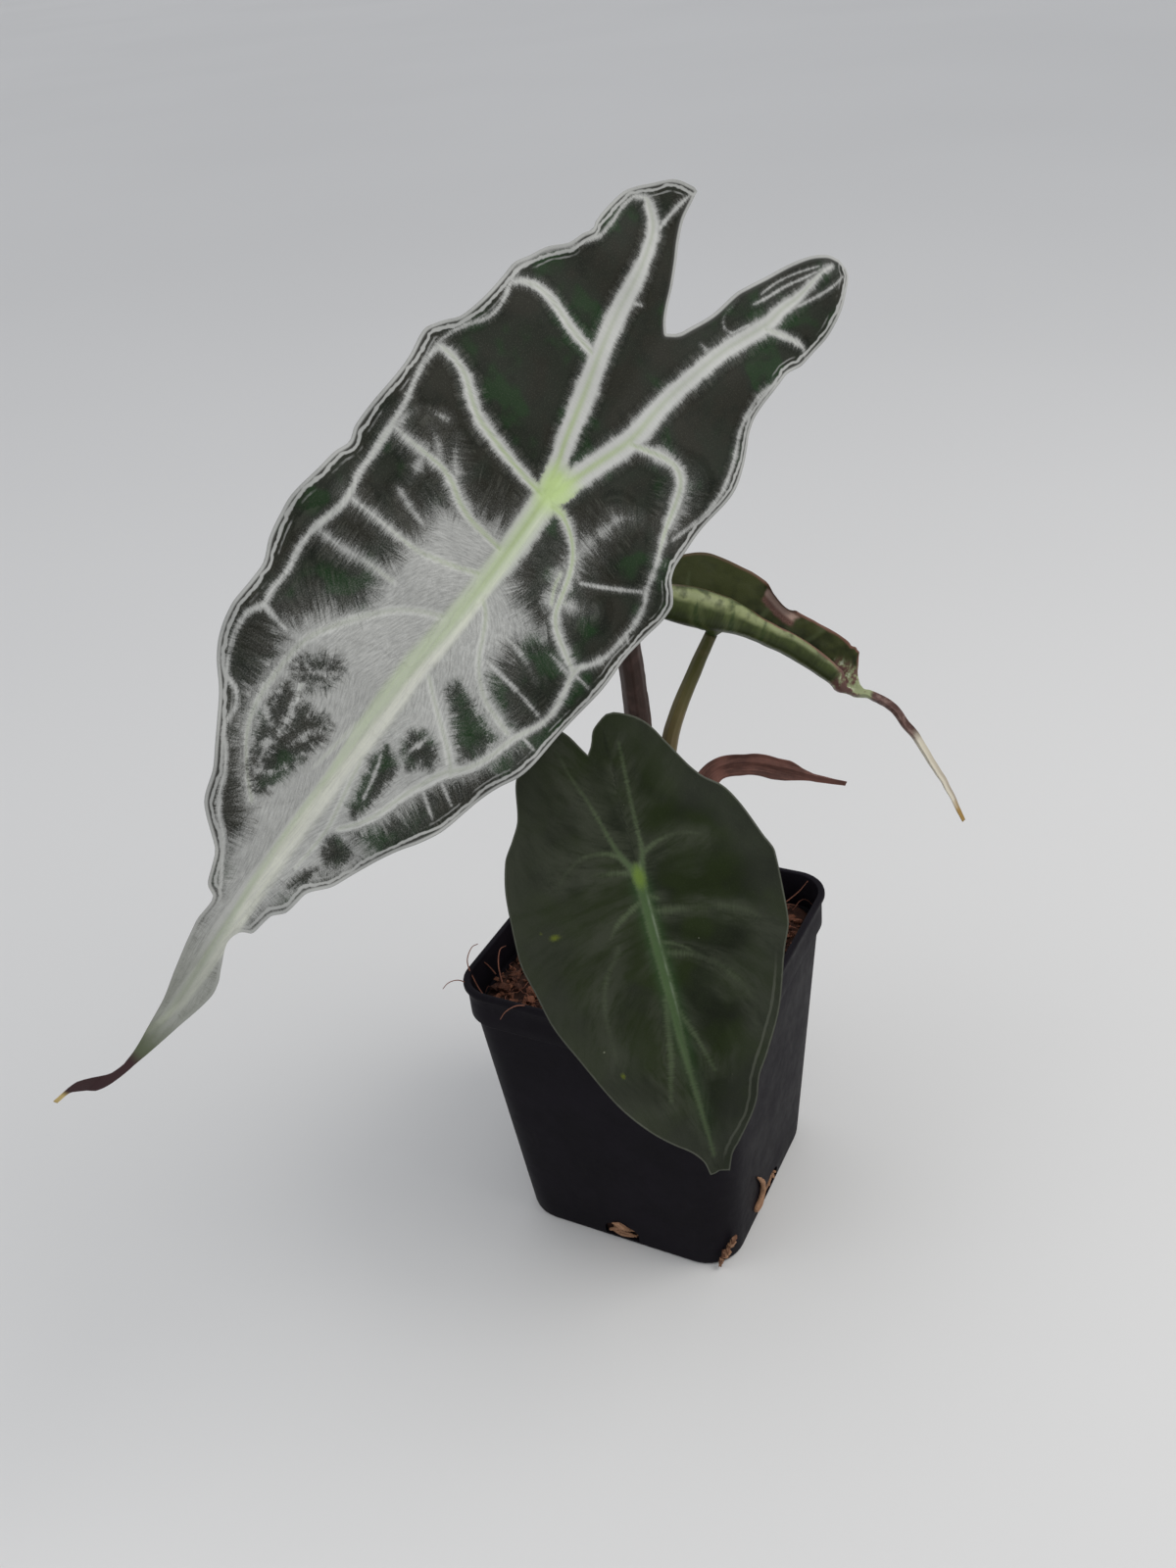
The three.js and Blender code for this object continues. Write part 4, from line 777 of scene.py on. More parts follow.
def leaf_net(leaf, cell, columns):
    """A leaf's outline as a flat net: rows of constant u, each half with its own columns, joined along
    the midrib below the sinus. Gives the places, the fine faces, the faces of a net with every second row
    and column, and the edges of the outer margin."""
    fine, coarse, outer = [], [], []
    count = 2 * round((leaf["tip"] - leaf["sinus"]) / cell / 2)
    body = np.linspace(leaf["sinus"], leaf["tip"], count + 1)
    places = list(zip(body, flowing(leaf["midrib"], body)))
    shares = np.linspace(0, 1, columns + 1)
    for name in ("left", "right"):
        side = leaf[name]
        start = side["outer"][0][0]
        lobe_rows = 2 * round((leaf["sinus"] - start) / cell / 2)
        lobe = start + (leaf["sinus"] - start) * (np.arange(lobe_rows) / lobe_rows) ** 1.35
        rows = []
        for row, u in enumerate([*lobe, *body]):
            free = row < lobe_rows
            inner = flowing(side["inner"] if free else leaf["midrib"], np.array([u]))[0]
            edge = flowing(side["outer"], np.array([u]))[0]
            ids = list(range(len(places), len(places) + columns + free))
            places += [(u, v) for v in inner + (edge - inner) * shares[0 if free else 1:]]
            rows.append(ids if free else [row - lobe_rows, *ids])
        rows = np.array(rows)
        outer.append(np.column_stack([rows[:-1, -1], rows[1:, -1]]))
        if name == "left":
            rows = rows[:, ::-1]
        for net, every in ((fine, 1), (coarse, 2)):
            r = rows[::every, ::every]
            net.append(np.stack([r[:-1, :-1], r[1:, :-1], r[1:, 1:], r[:-1, 1:]], axis=-1).reshape(-1, 4))
    return np.array(places), np.vstack(fine), np.vstack(coarse), np.vstack(outer)


def margin_edges(faces):
    """The outer edges of a net, each in the direction that its face goes."""
    edges = np.vstack([faces[:, [i, (i + 1) % 4]] for i in range(4)]).astype(np.int64)
    size = edges.max() + 1
    return edges[~np.isin(edges[:, 0] * size + edges[:, 1], edges[:, 1] * size + edges[:, 0])]


def edge_distance(places, edges):
    """How far each place is from the nearest of some edges, which is measured up to EDGE_REACH."""
    start = places[edges[:, 0]]
    step = places[edges[:, 1]] - start
    nearest = np.full(len(places), np.inf)
    for first in range(0, len(edges), EDGES_AT_ONCE):
        some = slice(first, first + EDGES_AT_ONCE)
        rows = near(places, start[some], EDGE_REACH + 2)
        nearest[rows] = np.minimum(nearest[rows], to_segments(places[rows], start[some], step[some])[0].min(1))
    return np.minimum(nearest, EDGE_REACH)


def vein_pattern(places, ribs, veins, grounds=(), windows=(), wisps=()):
    """The values that the finishes draw with, at each place: how silver it is, in hair lengths inside (+) or
    outside (-) the nearest vein or ground; how far it is along that (strand) and from it (reach); how strongly
    ribs and side veins press into the blade; how near it is to a vein's core; and how mottled it is."""
    names = ("silver", "strand", "reach", "rib", "vein", "core", "mottle")
    pattern = {name: np.zeros(len(places)) for name in names}
    pattern["silver"] -= SILVER_RANGE
    pattern["reach"] += VEIN_REACH

    def claim(rows, score, along, distance, seed, over=np.greater):
        taken = over(score, pattern["silver"][rows])
        for name, values in (("silver", score), ("strand", along + 61.3 * seed), ("reach", distance)):
            pattern[name][rows[taken]] = values[taken]

    def press(name, rows, values):
        pattern[name][rows] = np.maximum(pattern[name][rows], values)

    def draw(lines, kind, first, share):
        for seed, (hair, line) in enumerate(lines, first):
            path = curve_through(line, 1.2)
            rows = near(places, path, VEIN_REACH + 1)
            distance, along = nearest_on(path, places[rows])
            run = run_along(path[:, :2])
            half = np.maximum(np.interp(along, run, path[:, 2]) / 2, 0.1)
            head = 1 if half.max() > 0.7 else 0.5
            half *= share * np.interp(along, [0.75 * run[-1], run[-1]], [1, head])
            groove = np.clip(1 - (distance / np.maximum(half, 0.45)) ** 2, 0, 1) ** 1.5
            press(kind, rows, groove * np.minimum(half / 2.4, 1))
            core = np.exp(-((distance / (0.2 * half + 0.14)) ** 2)) * np.clip((half - 0.6) / 0.4, 0, 1)
            press("core", rows, core)
            fade = 1.3 * ease(along, 0.35 * run[-1], run[-1]) if path[-1, 2] <= 0.2 else 0
            claim(rows, (half - distance) / hair - fade, along, distance, seed)

    draw([(0.6, rib) for rib in ribs], "rib", 0, 1.35)
    draw(veins, "vein", 5, 1.12)
    everywhere = np.arange(len(places))
    grown = (grounds, np.greater, 1, 0, 1.15, 60), (windows, np.less, -1, 0.7, 1, 70)
    for areas, over, sign, grow, soften, first in grown:
        for seed, (hair, outline) in enumerate(areas, first):
            outline = np.array(outline, float)
            distance, along = nearest_on(np.vstack([outline, outline[:1]]), places)
            signed = (np.where(inside(outline, places), distance, -distance) + grow) / hair / soften
            claim(everywhere, sign * signed, along, distance, seed, over)
            if areas is windows:
                press("mottle", everywhere, ease(signed, -1.2, 0.8) * min(1, hair / 1.6))
    draw(wisps, "vein", 90, 1)
    pattern["silver"] = np.clip(pattern["silver"], -SILVER_RANGE, SILVER_RANGE)
    return pattern


def build_leaf(name, node, leaf, surface, settings, columns, drawing, finishes, relief, bands=None):
    """A leaf blade with its ribs, side veins and joint, closed round its margin. drawing holds what
    vein_pattern draws, and bands gives more values for the finish at each place."""
    point, _ = surface
    places, fine, coarse, outer = leaf_net(leaf, settings.cell / MM, columns)
    u, v = places.T
    from_joint = np.hypot(u, v)
    edges = margin_edges(fine)
    size = len(places)
    keys = edges.min(1) * size + edges.max(1)
    sinus_edges = edges[~np.isin(keys, outer.min(1) * size + outer.max(1))]
    fields = vein_pattern(places, **drawing)
    fields["hem"] = edge_distance(places, outer)
    rim = np.minimum(fields["hem"], edge_distance(places, sinus_edges))
    valley = np.full(size, 30.0)
    for line in [*drawing["ribs"], *(line for _, line in drawing["veins"])]:
        valley = np.minimum(valley, nearest_on(curve_through(line, 2.5), places)[0])
    fields.update({"rim": rim, "valley": valley, "u": u, "v": v}, **(bands(u, v) if bands else {}))

    # Veins and the lines between quilts sink in above, and ribs and the joint's knob stand out below.
    sink = relief["rib"] * fields["rib"] + relief["vein"] * fields["vein"]
    sink -= relief["grain"] * ripple(places, 1.6, 3, 2) * ease(rim, 0, 2)
    sink -= relief["quilt"] * (1 - np.exp(-((valley / 4.5) ** 2))) * ease(rim, 1, 9) * ease(from_joint, 6, 16)
    knob_radius, knob_depth = leaf["knob"]
    knob = (knob_depth - 1) * (1 - ease(from_joint, 0.55 * knob_radius, 1.25 * knob_radius))
    ridge = relief["ridge"] * np.maximum(fields["rib"], 0.45 * fields["vein"])
    depth = MARGIN_THICK + THICKER_INSIDE * ease(rim, 0, 1.6) + np.maximum(ridge, knob) + sink

    # The fine net above and the coarse one below meet in a wall round the margin.
    used = np.unique(coarse)
    below = np.full(size, -1)
    below[used] = size + np.arange(len(used))
    after = np.zeros(size, int)
    after[edges[:, 0]] = edges[:, 1]
    points = np.vstack([point(u, v, sink), point(u[used], v[used], depth[used])])
    points[:, 2] = np.minimum(points[:, 2], CAD_TOP / MM)
    a, b = margin_edges(coarse).T
    wall = np.column_stack([b, after[a], a, below[a], below[b]])
    under = below[coarse[:, ::-1]]
    fields = {key: np.concatenate([values, values[used]]) for key, values in fields.items()}
    finish_of = np.repeat([0, 1, 0], [len(fine), len(under), len(wall)])
    faces = [*fine.tolist(), *under.tolist(), *wall.tolist()]
    return add_piece(name, points, faces, finishes, node=node, fields=fields, finish_of=finish_of)


def band(v, middle, half):
    """1 inside a band that runs along the leaf, 0 outside, and soft between."""
    return ease(1.7 - np.abs(v - middle) / half, 0, 1.3)


def streaming(u, aside, slopes):
    """Places measured along and across streaks that leave the midrib for the tip at a slope."""
    slope = at(slopes, u)
    return {"flow": (u - slope * aside) / np.hypot(slope, 1), "drift": (slope * u + aside) / np.hypot(slope, 1)}


def venom_bands(u, v):
    """The lime and the cream along the large leaf's midrib, and the way that its silver streaks run."""
    start = ease(u, -5, -1)
    bands = streaming(u, np.abs(v - flowing(VENOM["midrib"], u)), VENOM_SLOPE)
    for name, rows in (("lime", VENOM_LIME), ("cream", VENOM_CREAM)):
        middle, half = (at([(row[0], row[k]) for row in rows], u) for k in (1, 2))
        bands[name] = band(v, middle, half) * start
    return bands


def young_bands(u, v):
    """The young leaf's green glow beside its midrib, its yellow flecks, and the way that its streaks run."""
    bands = streaming(u, np.abs(v), YOUNG_SLOPE)
    bands["drift"] = bands["drift"] + 40 * (v < 0)
    bands["glow"] = np.exp(-((v / 2.2) ** 2)) * ease(u, -3, 3) * (1 - 0.75 * ease(u, 25, 60))
    bands["glow"] *= 1 - ease(u, 60, 76)
    flecks = (np.exp(-(((u - a) / da) ** 2) - ((v - b) / db) ** 2) for a, b, da, db in YOUNG_FLECKS)
    return {**bands, "fleck": sum(flecks)}


# ---- Finishes ----


class Wire:
    """A value in a material's nodes that can be added, subtracted and multiplied."""

    def __init__(self, finish, socket):
        self.finish, self.socket = finish, socket

    def _join(self, operation, first, second):
        return self.finish.node("ShaderNodeMath", {0: first, 1: second}, operation=operation)

    def __add__(self, other):
        return self._join("ADD", self, other)

    def __sub__(self, other):
        return self._join("SUBTRACT", self, other)

    def __mul__(self, other):
        return self._join("MULTIPLY", self, other)


class Finish:
    """A procedural material, put together node by node round one surface shader."""

    def __init__(self, name, **constants):
        self.material = bpy.data.materials.new(name)
        self.material.use_nodes = True
        self.tree = self.material.node_tree
        self.shader = self.tree.nodes["Principled BSDF"]
        for socket, value in constants.items():
            self.feed(self.shader.inputs[socket.replace("_", " ")], value)

    def feed(self, socket, value):
        if isinstance(value, Wire):
            self.tree.links.new(value.socket, socket)
        elif hasattr(socket.default_value, "__len__") and len(socket.default_value) == 4:
            socket.default_value = (*value, 1)
        else:
            socket.default_value = value

    def node(self, kind, inputs, output=0, **settings):
        node = self.tree.nodes.new(kind)
        for key, value in settings.items():
            setattr(node, key, value)
        for key, value in inputs.items():
            self.feed(node.inputs[key], value)
        return Wire(self, node.outputs[output])

    def fields(self, names):
        """The values of the mesh's own fields, in order."""
        return [self.node("ShaderNodeAttribute", {}, 2, attribute_name=name) for name in names.split()]

    def place(self):
        return self.node("ShaderNodeTexCoord", {}, 3)

    def vector(self, x, y, z=0):
        return self.node("ShaderNodeCombineXYZ", {0: x, 1: y, 2: z})

    def stretched(self, x, y, z, turn=(0, 0, 0)):
        return self.node("ShaderNodeMapping", {"Vector": self.place(), "Scale": (x, y, z), "Rotation": turn})

    def spot(self, size, where):
        """What noise and cells start from: the size is in millimetres where no place is given."""
        return {"Vector": where or self.place(), "Scale": 1 / size if where else 1 / (size * MM)}

    def noise(self, size, where=None, detail=2, roughness=0.5):
        inputs = {**self.spot(size, where), "Detail": detail, "Roughness": roughness}
        return self.node("ShaderNodeTexNoise", inputs)

    def strands(self, x, y, z=0, detail=3, roughness=0.5):
        """Noise drawn out along a mesh's own fields, with bumps one unit large."""
        return self.noise(1, self.vector(x, y, z), detail, roughness)

    def cells(self, size, where):
        return self.node("ShaderNodeTexVoronoi", self.spot(size, where))

    def between(self, value, low, high, start=0, end=1):
        """From start to end as the value goes from low to high, and no further."""
        inputs = {0: value, 1: low, 2: high, 3: start, 4: end}
        return self.node("ShaderNodeMapRange", inputs, interpolation_type="SMOOTHSTEP")

    def blend(self, part, first, second):
        """From the first colour to the second."""
        return self.node("ShaderNodeMix", {0: part, 6: first, 7: second}, 2, data_type="RGBA")

    def layers(self, shade, *layers):
        """A colour under (part, colour) layers, the last one on top."""
        for part, colour_above in layers:
            shade = self.blend(part, shade, colour_above)
        return shade

    def distance(self, x, y):
        return self.node("ShaderNodeVectorMath", {0: self.vector(x, y)}, 1, operation="LENGTH")

    def relief(self, *layers):
        """Bumps from (height, depth in millimetres) layers, the first one deepest."""
        normal = None
        for height, depth in layers:
            inputs = {"Height": height, "Distance": depth * MM, "Strength": 1}
            if normal:
                inputs["Normal"] = normal
            normal = self.node("ShaderNodeBump", inputs)
        self.feed(self.shader.inputs["Normal"], normal)

    def surface(self, shade, roughness=None):
        self.feed(self.shader.inputs["Base Color"], shade)
        if roughness:
            self.feed(self.shader.inputs["Roughness"], roughness)
        return self.material


def lighter(shade, factor):
    return tuple(min(1.0, c * factor) for c in shade)


def silver_vein_finish(settings):
    """Upper side of the large leaf: silver that feathers out of the veins over near-black green."""
    f = Finish("Silver-veined leaf", Specular_IOR_Level=0.07)
    silver, strand, reach, rim, hem, u, v, core = f.fields("silver strand reach rim hem u v core")
    rib, vein, mottle, lime, cream, flow, drift = f.fields("rib vein mottle lime cream flow drift")
    shine = partial(lighter, settings.silver)
    here = f.vector(u, v)
    hair = f.strands(strand * 3.6, reach * 0.45, 0, 4, 0.66) - 0.5
    tuft = f.strands(strand * 1.7, reach * 0.16, 4, 4, 0.66) - 0.5
    clump = f.strands(strand * 0.3, reach * 0.12, 6, 2) - 0.5
    grit = f.noise(0.33, here, 3, 0.75)
    blotch = f.noise(2.1, here, 5, 0.7) - 0.5
    cloud = f.noise(7, here, 3, 0.6)
    spread = silver + hair * 2 + tuft * 2.6 + clump * 2.2 + (grit - 0.5) * 2.2 + blotch * 0.8
    mask = f.between(spread + mottle * (blotch * 5.5 - 0.1), -1.2, 1)
    haze = f.between(silver + hair * 4 + tuft * 4 + clump * 2, -3.9, 1) * f.between(grit, 0.3, 0.75) * 0.38

    # The windows: near-black, with green and brownish clouds, fine streaks and pale grit.
    hue = f.noise(11, f.vector(u, v, 5))
    streaks = f.strands(strand * 1.3, reach * 0.14, 8, 5, 0.7)
    window = f.layers(
        settings.dark_green,
        (f.between(hue, 0.45, 0.6), (0.0145, 0.014, 0.0095)),
        (f.between(hue, 0.46, 0.36), (0.009, 0.028, 0.008)),
        (f.between(cloud, 0.5, 0.32) * 0.7, lighter(settings.dark_green, 0.5)),
        (f.between(streaks, 0.45, 0.75) * 0.5, (0.085, 0.086, 0.07)),
        (f.between(grit, 0.5, 0.78) * 0.5, (0.09, 0.094, 0.072)),
        (haze, shine(0.75)),
    )

    # The silver: fine streaks that leave the midrib, brighter beside the veins, greenish along their cores.
    fibres = f.strands(flow * 3.4, drift * 0.3, 2, 5, 0.72)
    silvered = f.layers(
        shine(0.68),
        (f.between(fibres, 0.34, 0.64), shine(1.1)),
        (f.between(cloud, 0.35, 0.7) * 0.28, shine(0.76)),
        (f.between(grit, 0.35, 0.7) * 0.4, shine(0.6)),
        (f.between(vein, 0.02, 0.4) * f.between(fibres, 0.3, 0.6, 0.35, 0.8), shine(1.2)),
        (f.between(rib, 0.02, 0.4) * 0.75, shine(1.16)),
        (core * 0.38, (0.27, 0.31, 0.2)),
    )
    shade = f.blend(mask, window, silvered)

    # Two pale lines follow the margin, with dark between them.
    sway = f.noise(7, f.vector(u, v, 9), 3, 0.6) * 2.2 + f.noise(1.3, here, 1) * 0.4
    second, third = hem + sway - 2.7, hem + sway * 0.6 - 3.4
    hem_shade = f.layers(
        shade,
        (f.between(rim, 1.7, 0.9) * 0.45, (0.072, 0.07, 0.066)),
        (f.between(second * second, 0.2, 0.02) * 0.85, shine(0.92)),
        (f.between(third * third, 0.07, 0.01) * f.between(cloud, 0.45, 0.6) * 0.55, shine(0.7)),
    )

    # Lime and cream run along the midrib, and lime fills the joint and the feet of the ribs. The drip tip
    # greys, browns and ends in a dry yellow point.
    away = f.distance(u, v)
    along_midrib = f.strands(u * 0.16, v * 2.2, 7, 5, 0.7)
    stop = u + cloud * 6
    edge = f.between(rim, 0.95, 0.45) * f.between(grit + (cloud - 0.5), 0.1, 0.6, 0.7, 0.95)
    joint = f.between(away + (grit - 0.5) * 2, 8, 1.5) * f.between(mask, 0.3, 0.9) * 0.8
    lime_part = lime * f.between(u, 150, 30, 0.25, 0.85) * f.between(along_midrib, 0.3, 0.7, 1, 0.55)
    shade = f.layers(
        shade,
        (f.between(u, 128, 112), hem_shade),
        (edge, shine(0.9)),
        (cream * f.between(along_midrib, 0.3, 0.65, 0.35, 0.8), (0.66, 0.67, 0.57)),
        (lime_part, settings.lime),
        (core * f.between(away, 45, 4, 0, 0.7), (0.34, 0.43, 0.19)),
        (joint, (0.47, 0.6, 0.26)),
        (f.between(stop, 116, 146) * 0.6, (0.19, 0.2, 0.16)),
        (f.between(stop, 146, 157), (0.1, 0.115, 0.07)),
        (f.between(stop, 156, 162), (0.05, 0.028, 0.029)),
        (f.between(u, 171, 173), (0.5, 0.38, 0.16)),
    )
    f.relief((hair * mask + grit * 0.6, 0.07), (grit, 0.05), (fibres, 0.05))
    return f.surface(shade, f.between(mask, 0, 1, 0.44, 0.68) + (grit - 0.5) * 0.16)


def underside_finish(settings):
    """Underside of a leaf: pale green with paler ribs and darker cross veins."""
    f = Finish("Leaf underside", Specular_IOR_Level=0.3)
    silver, rib, rim, strand, reach, u, v = f.fields("silver rib rim strand reach u v")
    here = f.vector(u, v)
    cloud, grit = f.noise(5, here, 3), f.noise(0.4, here, 3, 0.7)
    shade = f.layers(
        lighter(settings.underside, 0.72),
        (f.between(cloud, 0.3, 0.75), lighter(settings.underside, 1.15)),
        (f.between(silver, -1.5, 0.2) * f.between(silver, 2.5, 0.2) * 0.45, (0.04, 0.07, 0.018)),
        (f.between(rib, 0.1, 0.7), (0.24, 0.29, 0.12)),
        (f.between(rim, 1.5, 0.3) * 0.7, (0.2, 0.13, 0.08)),
        (f.between(grit, 0.5, 0.9) * 0.3, (0.19, 0.23, 0.11)),
    )
    f.relief((f.strands(strand * 1.2, reach * 0.4), 0.08), (grit, 0.04))
    return f.surface(shade, f.between(grit, 0.2, 0.9, 0.38, 0.55))


def young_leaf_finish(settings):
    """Upper side of the young leaf: satin dark grey-green with a fresh green midrib."""
    f = Finish("Young leaf green", Specular_IOR_Level=0.1)
    silver, strand, reach, rim, hem, valley, u, v = f.fields("silver strand reach rim hem valley u v")
    rib, glow, fleck, flow, drift = f.fields("rib glow fleck flow drift")
    here = f.vector(u, v)
    hair = f.strands(strand * 1.8, reach * 0.3, 0, 3, 0.6) - 0.5
    cloud, grit = f.noise(8, here, 4, 0.6), f.noise(0.4, here, 3, 0.7)
    hue = f.noise(14, f.vector(u, v, 3))
    streaks = f.strands(flow * 0.75, drift * 0.1, 3, 5, 0.68)
    folds = f.strands(flow * 0.15, drift * 0.045, 6, 2)
    patch, fine_grit = cloud - 0.5, grit - 0.5

    # Grey-green between the veins, paler along the hem, with painted light: pale bands beside the veins and
    # along them (the folds noise), where the quilted blade would face the light, and a painted sheen on the
    # left half.
    quilt_light = f.between(valley + patch * 6 - (folds - 0.5) * 10, 5.4, 0.6)
    quilt_light = quilt_light * f.between(streaks, 0.34, 0.6, 0.15, 0.8)
    # A painted sheen: the left half is paler and greyer.
    left_half_sheen = f.between(v + patch * 14, 4, -18) * f.between(streaks, 0.3, 0.6, 0.15, 0.5)
    shade = f.layers(
        lighter(settings.young_green, 0.55),
        (f.between(cloud, 0.3, 0.72), lighter(settings.young_green, 1.05)),
        (f.between(hue, 0.42, 0.6) * 0.7, (0.015, 0.024, 0.004)),
        (quilt_light, (0.039, 0.045, 0.028)),
        (f.between(folds, 0.5, 0.68) * f.between(streaks, 0.34, 0.6, 0.2, 0.7), (0.034, 0.04, 0.024)),
        (f.between(hem + patch * 8, 12, 3) * 0.35, (0.04, 0.043, 0.033)),
        (left_half_sheen, (0.036, 0.04, 0.027)),
        (f.between(grit, 0.5, 0.85) * 0.35, (0.05, 0.055, 0.038)),
    )

    # Veins and midrib, the joint, the yellow flecks and pale specks, and the lines along the margin.
    veins = f.between(silver + hair * 2.4, -1, 1.2)
    vein_part = veins * f.between(cloud, 0.35, 0.6, 0.35, 0.75) * f.between(hem, 3, 16, 0.25, 1)
    midrib = f.between(rib, 0, 0.35) * (f.between(u, 76, 20, 0.12, 0.8) * f.between(u, -3, 1, 0.5, 1))
    # A painted sheen: a pale line along the right edge of the midrib.
    midrib_sheen = midrib * f.between(v, 0.2, 0.75) * f.between(v, 1.5, 0.8) * f.between(cloud, 0.35, 0.6)
    from_joint = f.distance(u * 0.7 - 0.4, v * 1.3)
    second = hem + f.noise(6, here) * 1.5 - 2.6
    lower_right = f.between(u, 22, 34) * f.between(v, 1, 3)
    shade = f.layers(
        shade,
        (glow * 0.7, (0.026, 0.072, 0.018)),
        (vein_part, (0.076, 0.094, 0.054)),
        (veins * f.between(v * v, 110, 9) * 0.45, (0.09, 0.125, 0.06)),
        (midrib * f.between(streaks, 0.3, 0.6, 0.5, 1), (0.056, 0.1, 0.036)),
        (midrib_sheen, (0.17, 0.21, 0.14)),
        (f.between(from_joint + fine_grit * 2.2, 2.9, 0.4) * 0.9, (0.13, 0.2, 0.035)),
        (f.between(fleck + fine_grit * 0.8 + patch * 0.8, 0.3, 1.1) * 0.55, (0.14, 0.17, 0.01)),
        (f.between(f.cells(9, here), 0.032, 0.016) * 0.6, (0.2, 0.21, 0.15)),
        (f.between(second * second, 0.16, 0.02) * lower_right * 0.6, (0.085, 0.09, 0.068)),
        (f.between(rim + f.noise(2, here) * 0.3, 0.62, 0.36) * 0.6, (0.11, 0.115, 0.09)),
    )
    f.relief((hair, 0.06), (grit, 0.05), (streaks, 0.12), (f.cells(0.55, here), 0.03))
    return f.surface(shade, f.between(cloud + fine_grit * 0.6, 0.2, 0.8, 0.36, 0.52))


def rolled_inside_finish(settings):
    """Upper side of the rolled leaf, seen on its far flap: dark olive green with painted shade next to the
    roll, brown where the margin curls.
    """
    f = Finish("Rolled leaf inside", Specular_IOR_Level=0.12)
    silver, rim, u, v = f.fields("silver rim u v")
    here = f.vector(u, v)
    cloud, grit = f.noise(4, here, 3), f.noise(0.4, here, 3, 0.7)
    # Painted shade: the dark olive green is darkened further next to the roll, and is lighter farther out along
    # the flap.
    shade = f.layers(
        (0.009, 0.012, 0.003),
        (f.between(cloud + f.between(v, 4, 14) * 0.3, 0.3, 0.85), (0.034, 0.04, 0.01)),
        (f.between(silver, -1.2, 0.6) * 0.5, (0.06, 0.075, 0.03)),
        *dried_parts(f, u, v, rim, cloud, grit),
    )
    f.relief((grit, 0.06), (cloud, 0.1))
    return f.surface(shade, f.between(grit, 0.2, 0.9, 0.36, 0.55))


def dried_parts(f, u, v, rim, cloud, grit):
    """Layers for a pink-brown margin with a dried curl, with a painted highlight along the curl's middle, a
    gnarled twist, and the drip tip: brown, cream, and yellow-brown."""
    patch = cloud - 0.5
    stop = u + patch * 5
    margin = f.between(rim + patch * 0.9, 1.1, 0.35) * f.between(u, -6, 20, 0.3, 0.85)
    curl = f.between(v, 2, 4) * f.between(stop, 9.5, 11.5) * f.between(stop, 22.5, 20)
    curl = curl * f.between(rim + patch * 2, 5.4, 4.2)
    # A painted highlight along the middle of the curled margin.
    crown = f.between(rim + (grit - 0.5) * 1.2, 3.6, 2.4) * f.between(rim, 0.7, 1.6)
    patches = f.noise(2.4, f.vector(u, v, 4), 3, 0.65)
    gnarled = f.layers(
        (0.115, 0.058, 0.048),
        (f.between(patches + f.between(stop, 43, 49) * 0.25, 0.5, 0.66), (0.25, 0.28, 0.15)),
        (f.between(patches, 0.6, 0.7), (0.42, 0.44, 0.33)),
    )
    twist = f.between(stop, 36.5, 39.5) * f.between(stop, 53, 51)
    tip = f.blend(f.between(patches, 0.4, 0.7), (0.085, 0.045, 0.038), (0.2, 0.13, 0.11))
    return (
        (margin, (0.16, 0.075, 0.055)),
        (curl, f.blend(f.between(grit, 0.3, 0.75), (0.08, 0.038, 0.028), (0.17, 0.095, 0.075))),
        (curl * crown * 0.85, (0.4, 0.28, 0.23)),
        (twist * f.between(v, 9, 5), gnarled),
        (f.between(stop, 51, 53.5), tip),
        (f.between(stop, 69, 75), (0.56, 0.52, 0.42)),
        (f.between(stop, 72, 99) * f.between(v, 0.1, 0.9) * 0.6, (0.2, 0.14, 0.1)),
        (f.between(stop, 94, 98), (0.3, 0.19, 0.06)),
    )


def rolled_outside_finish(settings):
    """Underside of the rolled leaf, which is its outside: olive green and dark cross veins, with a painted
    highlight along the top of the roll and painted shade on its lower side.
    """
    f = Finish("Rolled leaf outside", Specular_IOR_Level=0.22)
    silver, rim, u, v = f.fields("silver rim u v")
    here = f.vector(u, v)
    cloud, grit = f.noise(4, here, 3), f.noise(0.4, here, 3, 0.7)
    ribbed = f.strands(u * 1.3, v * 0.15, 2)
    # Painted light by the angle round the roll: a highlight along its upper front and shade on its lower side.
    # Its olive green is also darker overall than the leaf's own, as painted shade.
    turn = v * f.between(u, -4, 12, 0.19, 0.33) + (cloud - 0.5) * 0.5
    crest_highlight = f.between(turn, -1.8, -2.15) * f.between(turn, -2.85, -2.5) * f.between(cloud, 0.36, 0.56, 0.3, 1)
    shade = f.layers(
        lighter(settings.underside, 0.7),
        (f.between(cloud, 0.3, 0.75), lighter(settings.underside, 1.25)),
        (f.between(ribbed, 0.45, 0.75) * 0.35, lighter(settings.underside, 1.7)),
        (f.between(turn, -1.75, -0.7) * 0.7, (0.012, 0.018, 0.005)),
        (crest_highlight * f.between(u, 34, 4, 0.5, 0.85), (0.27, 0.3, 0.14)),
        (f.between(silver, -3.5, -1.4) * f.between(silver, 0.6, -0.6) * 0.25, (0.14, 0.17, 0.06)),
        (f.between(silver + (grit - 0.5) * 1.5, -0.9, 0.5) * 0.75, (0.028, 0.05, 0.01)),
        *dried_parts(f, u, v, rim, cloud, grit),
    )
    f.relief((ribbed, 0.12), (grit, 0.05))
    return f.surface(shade, f.between(grit, 0.2, 0.9, 0.3, 0.48))


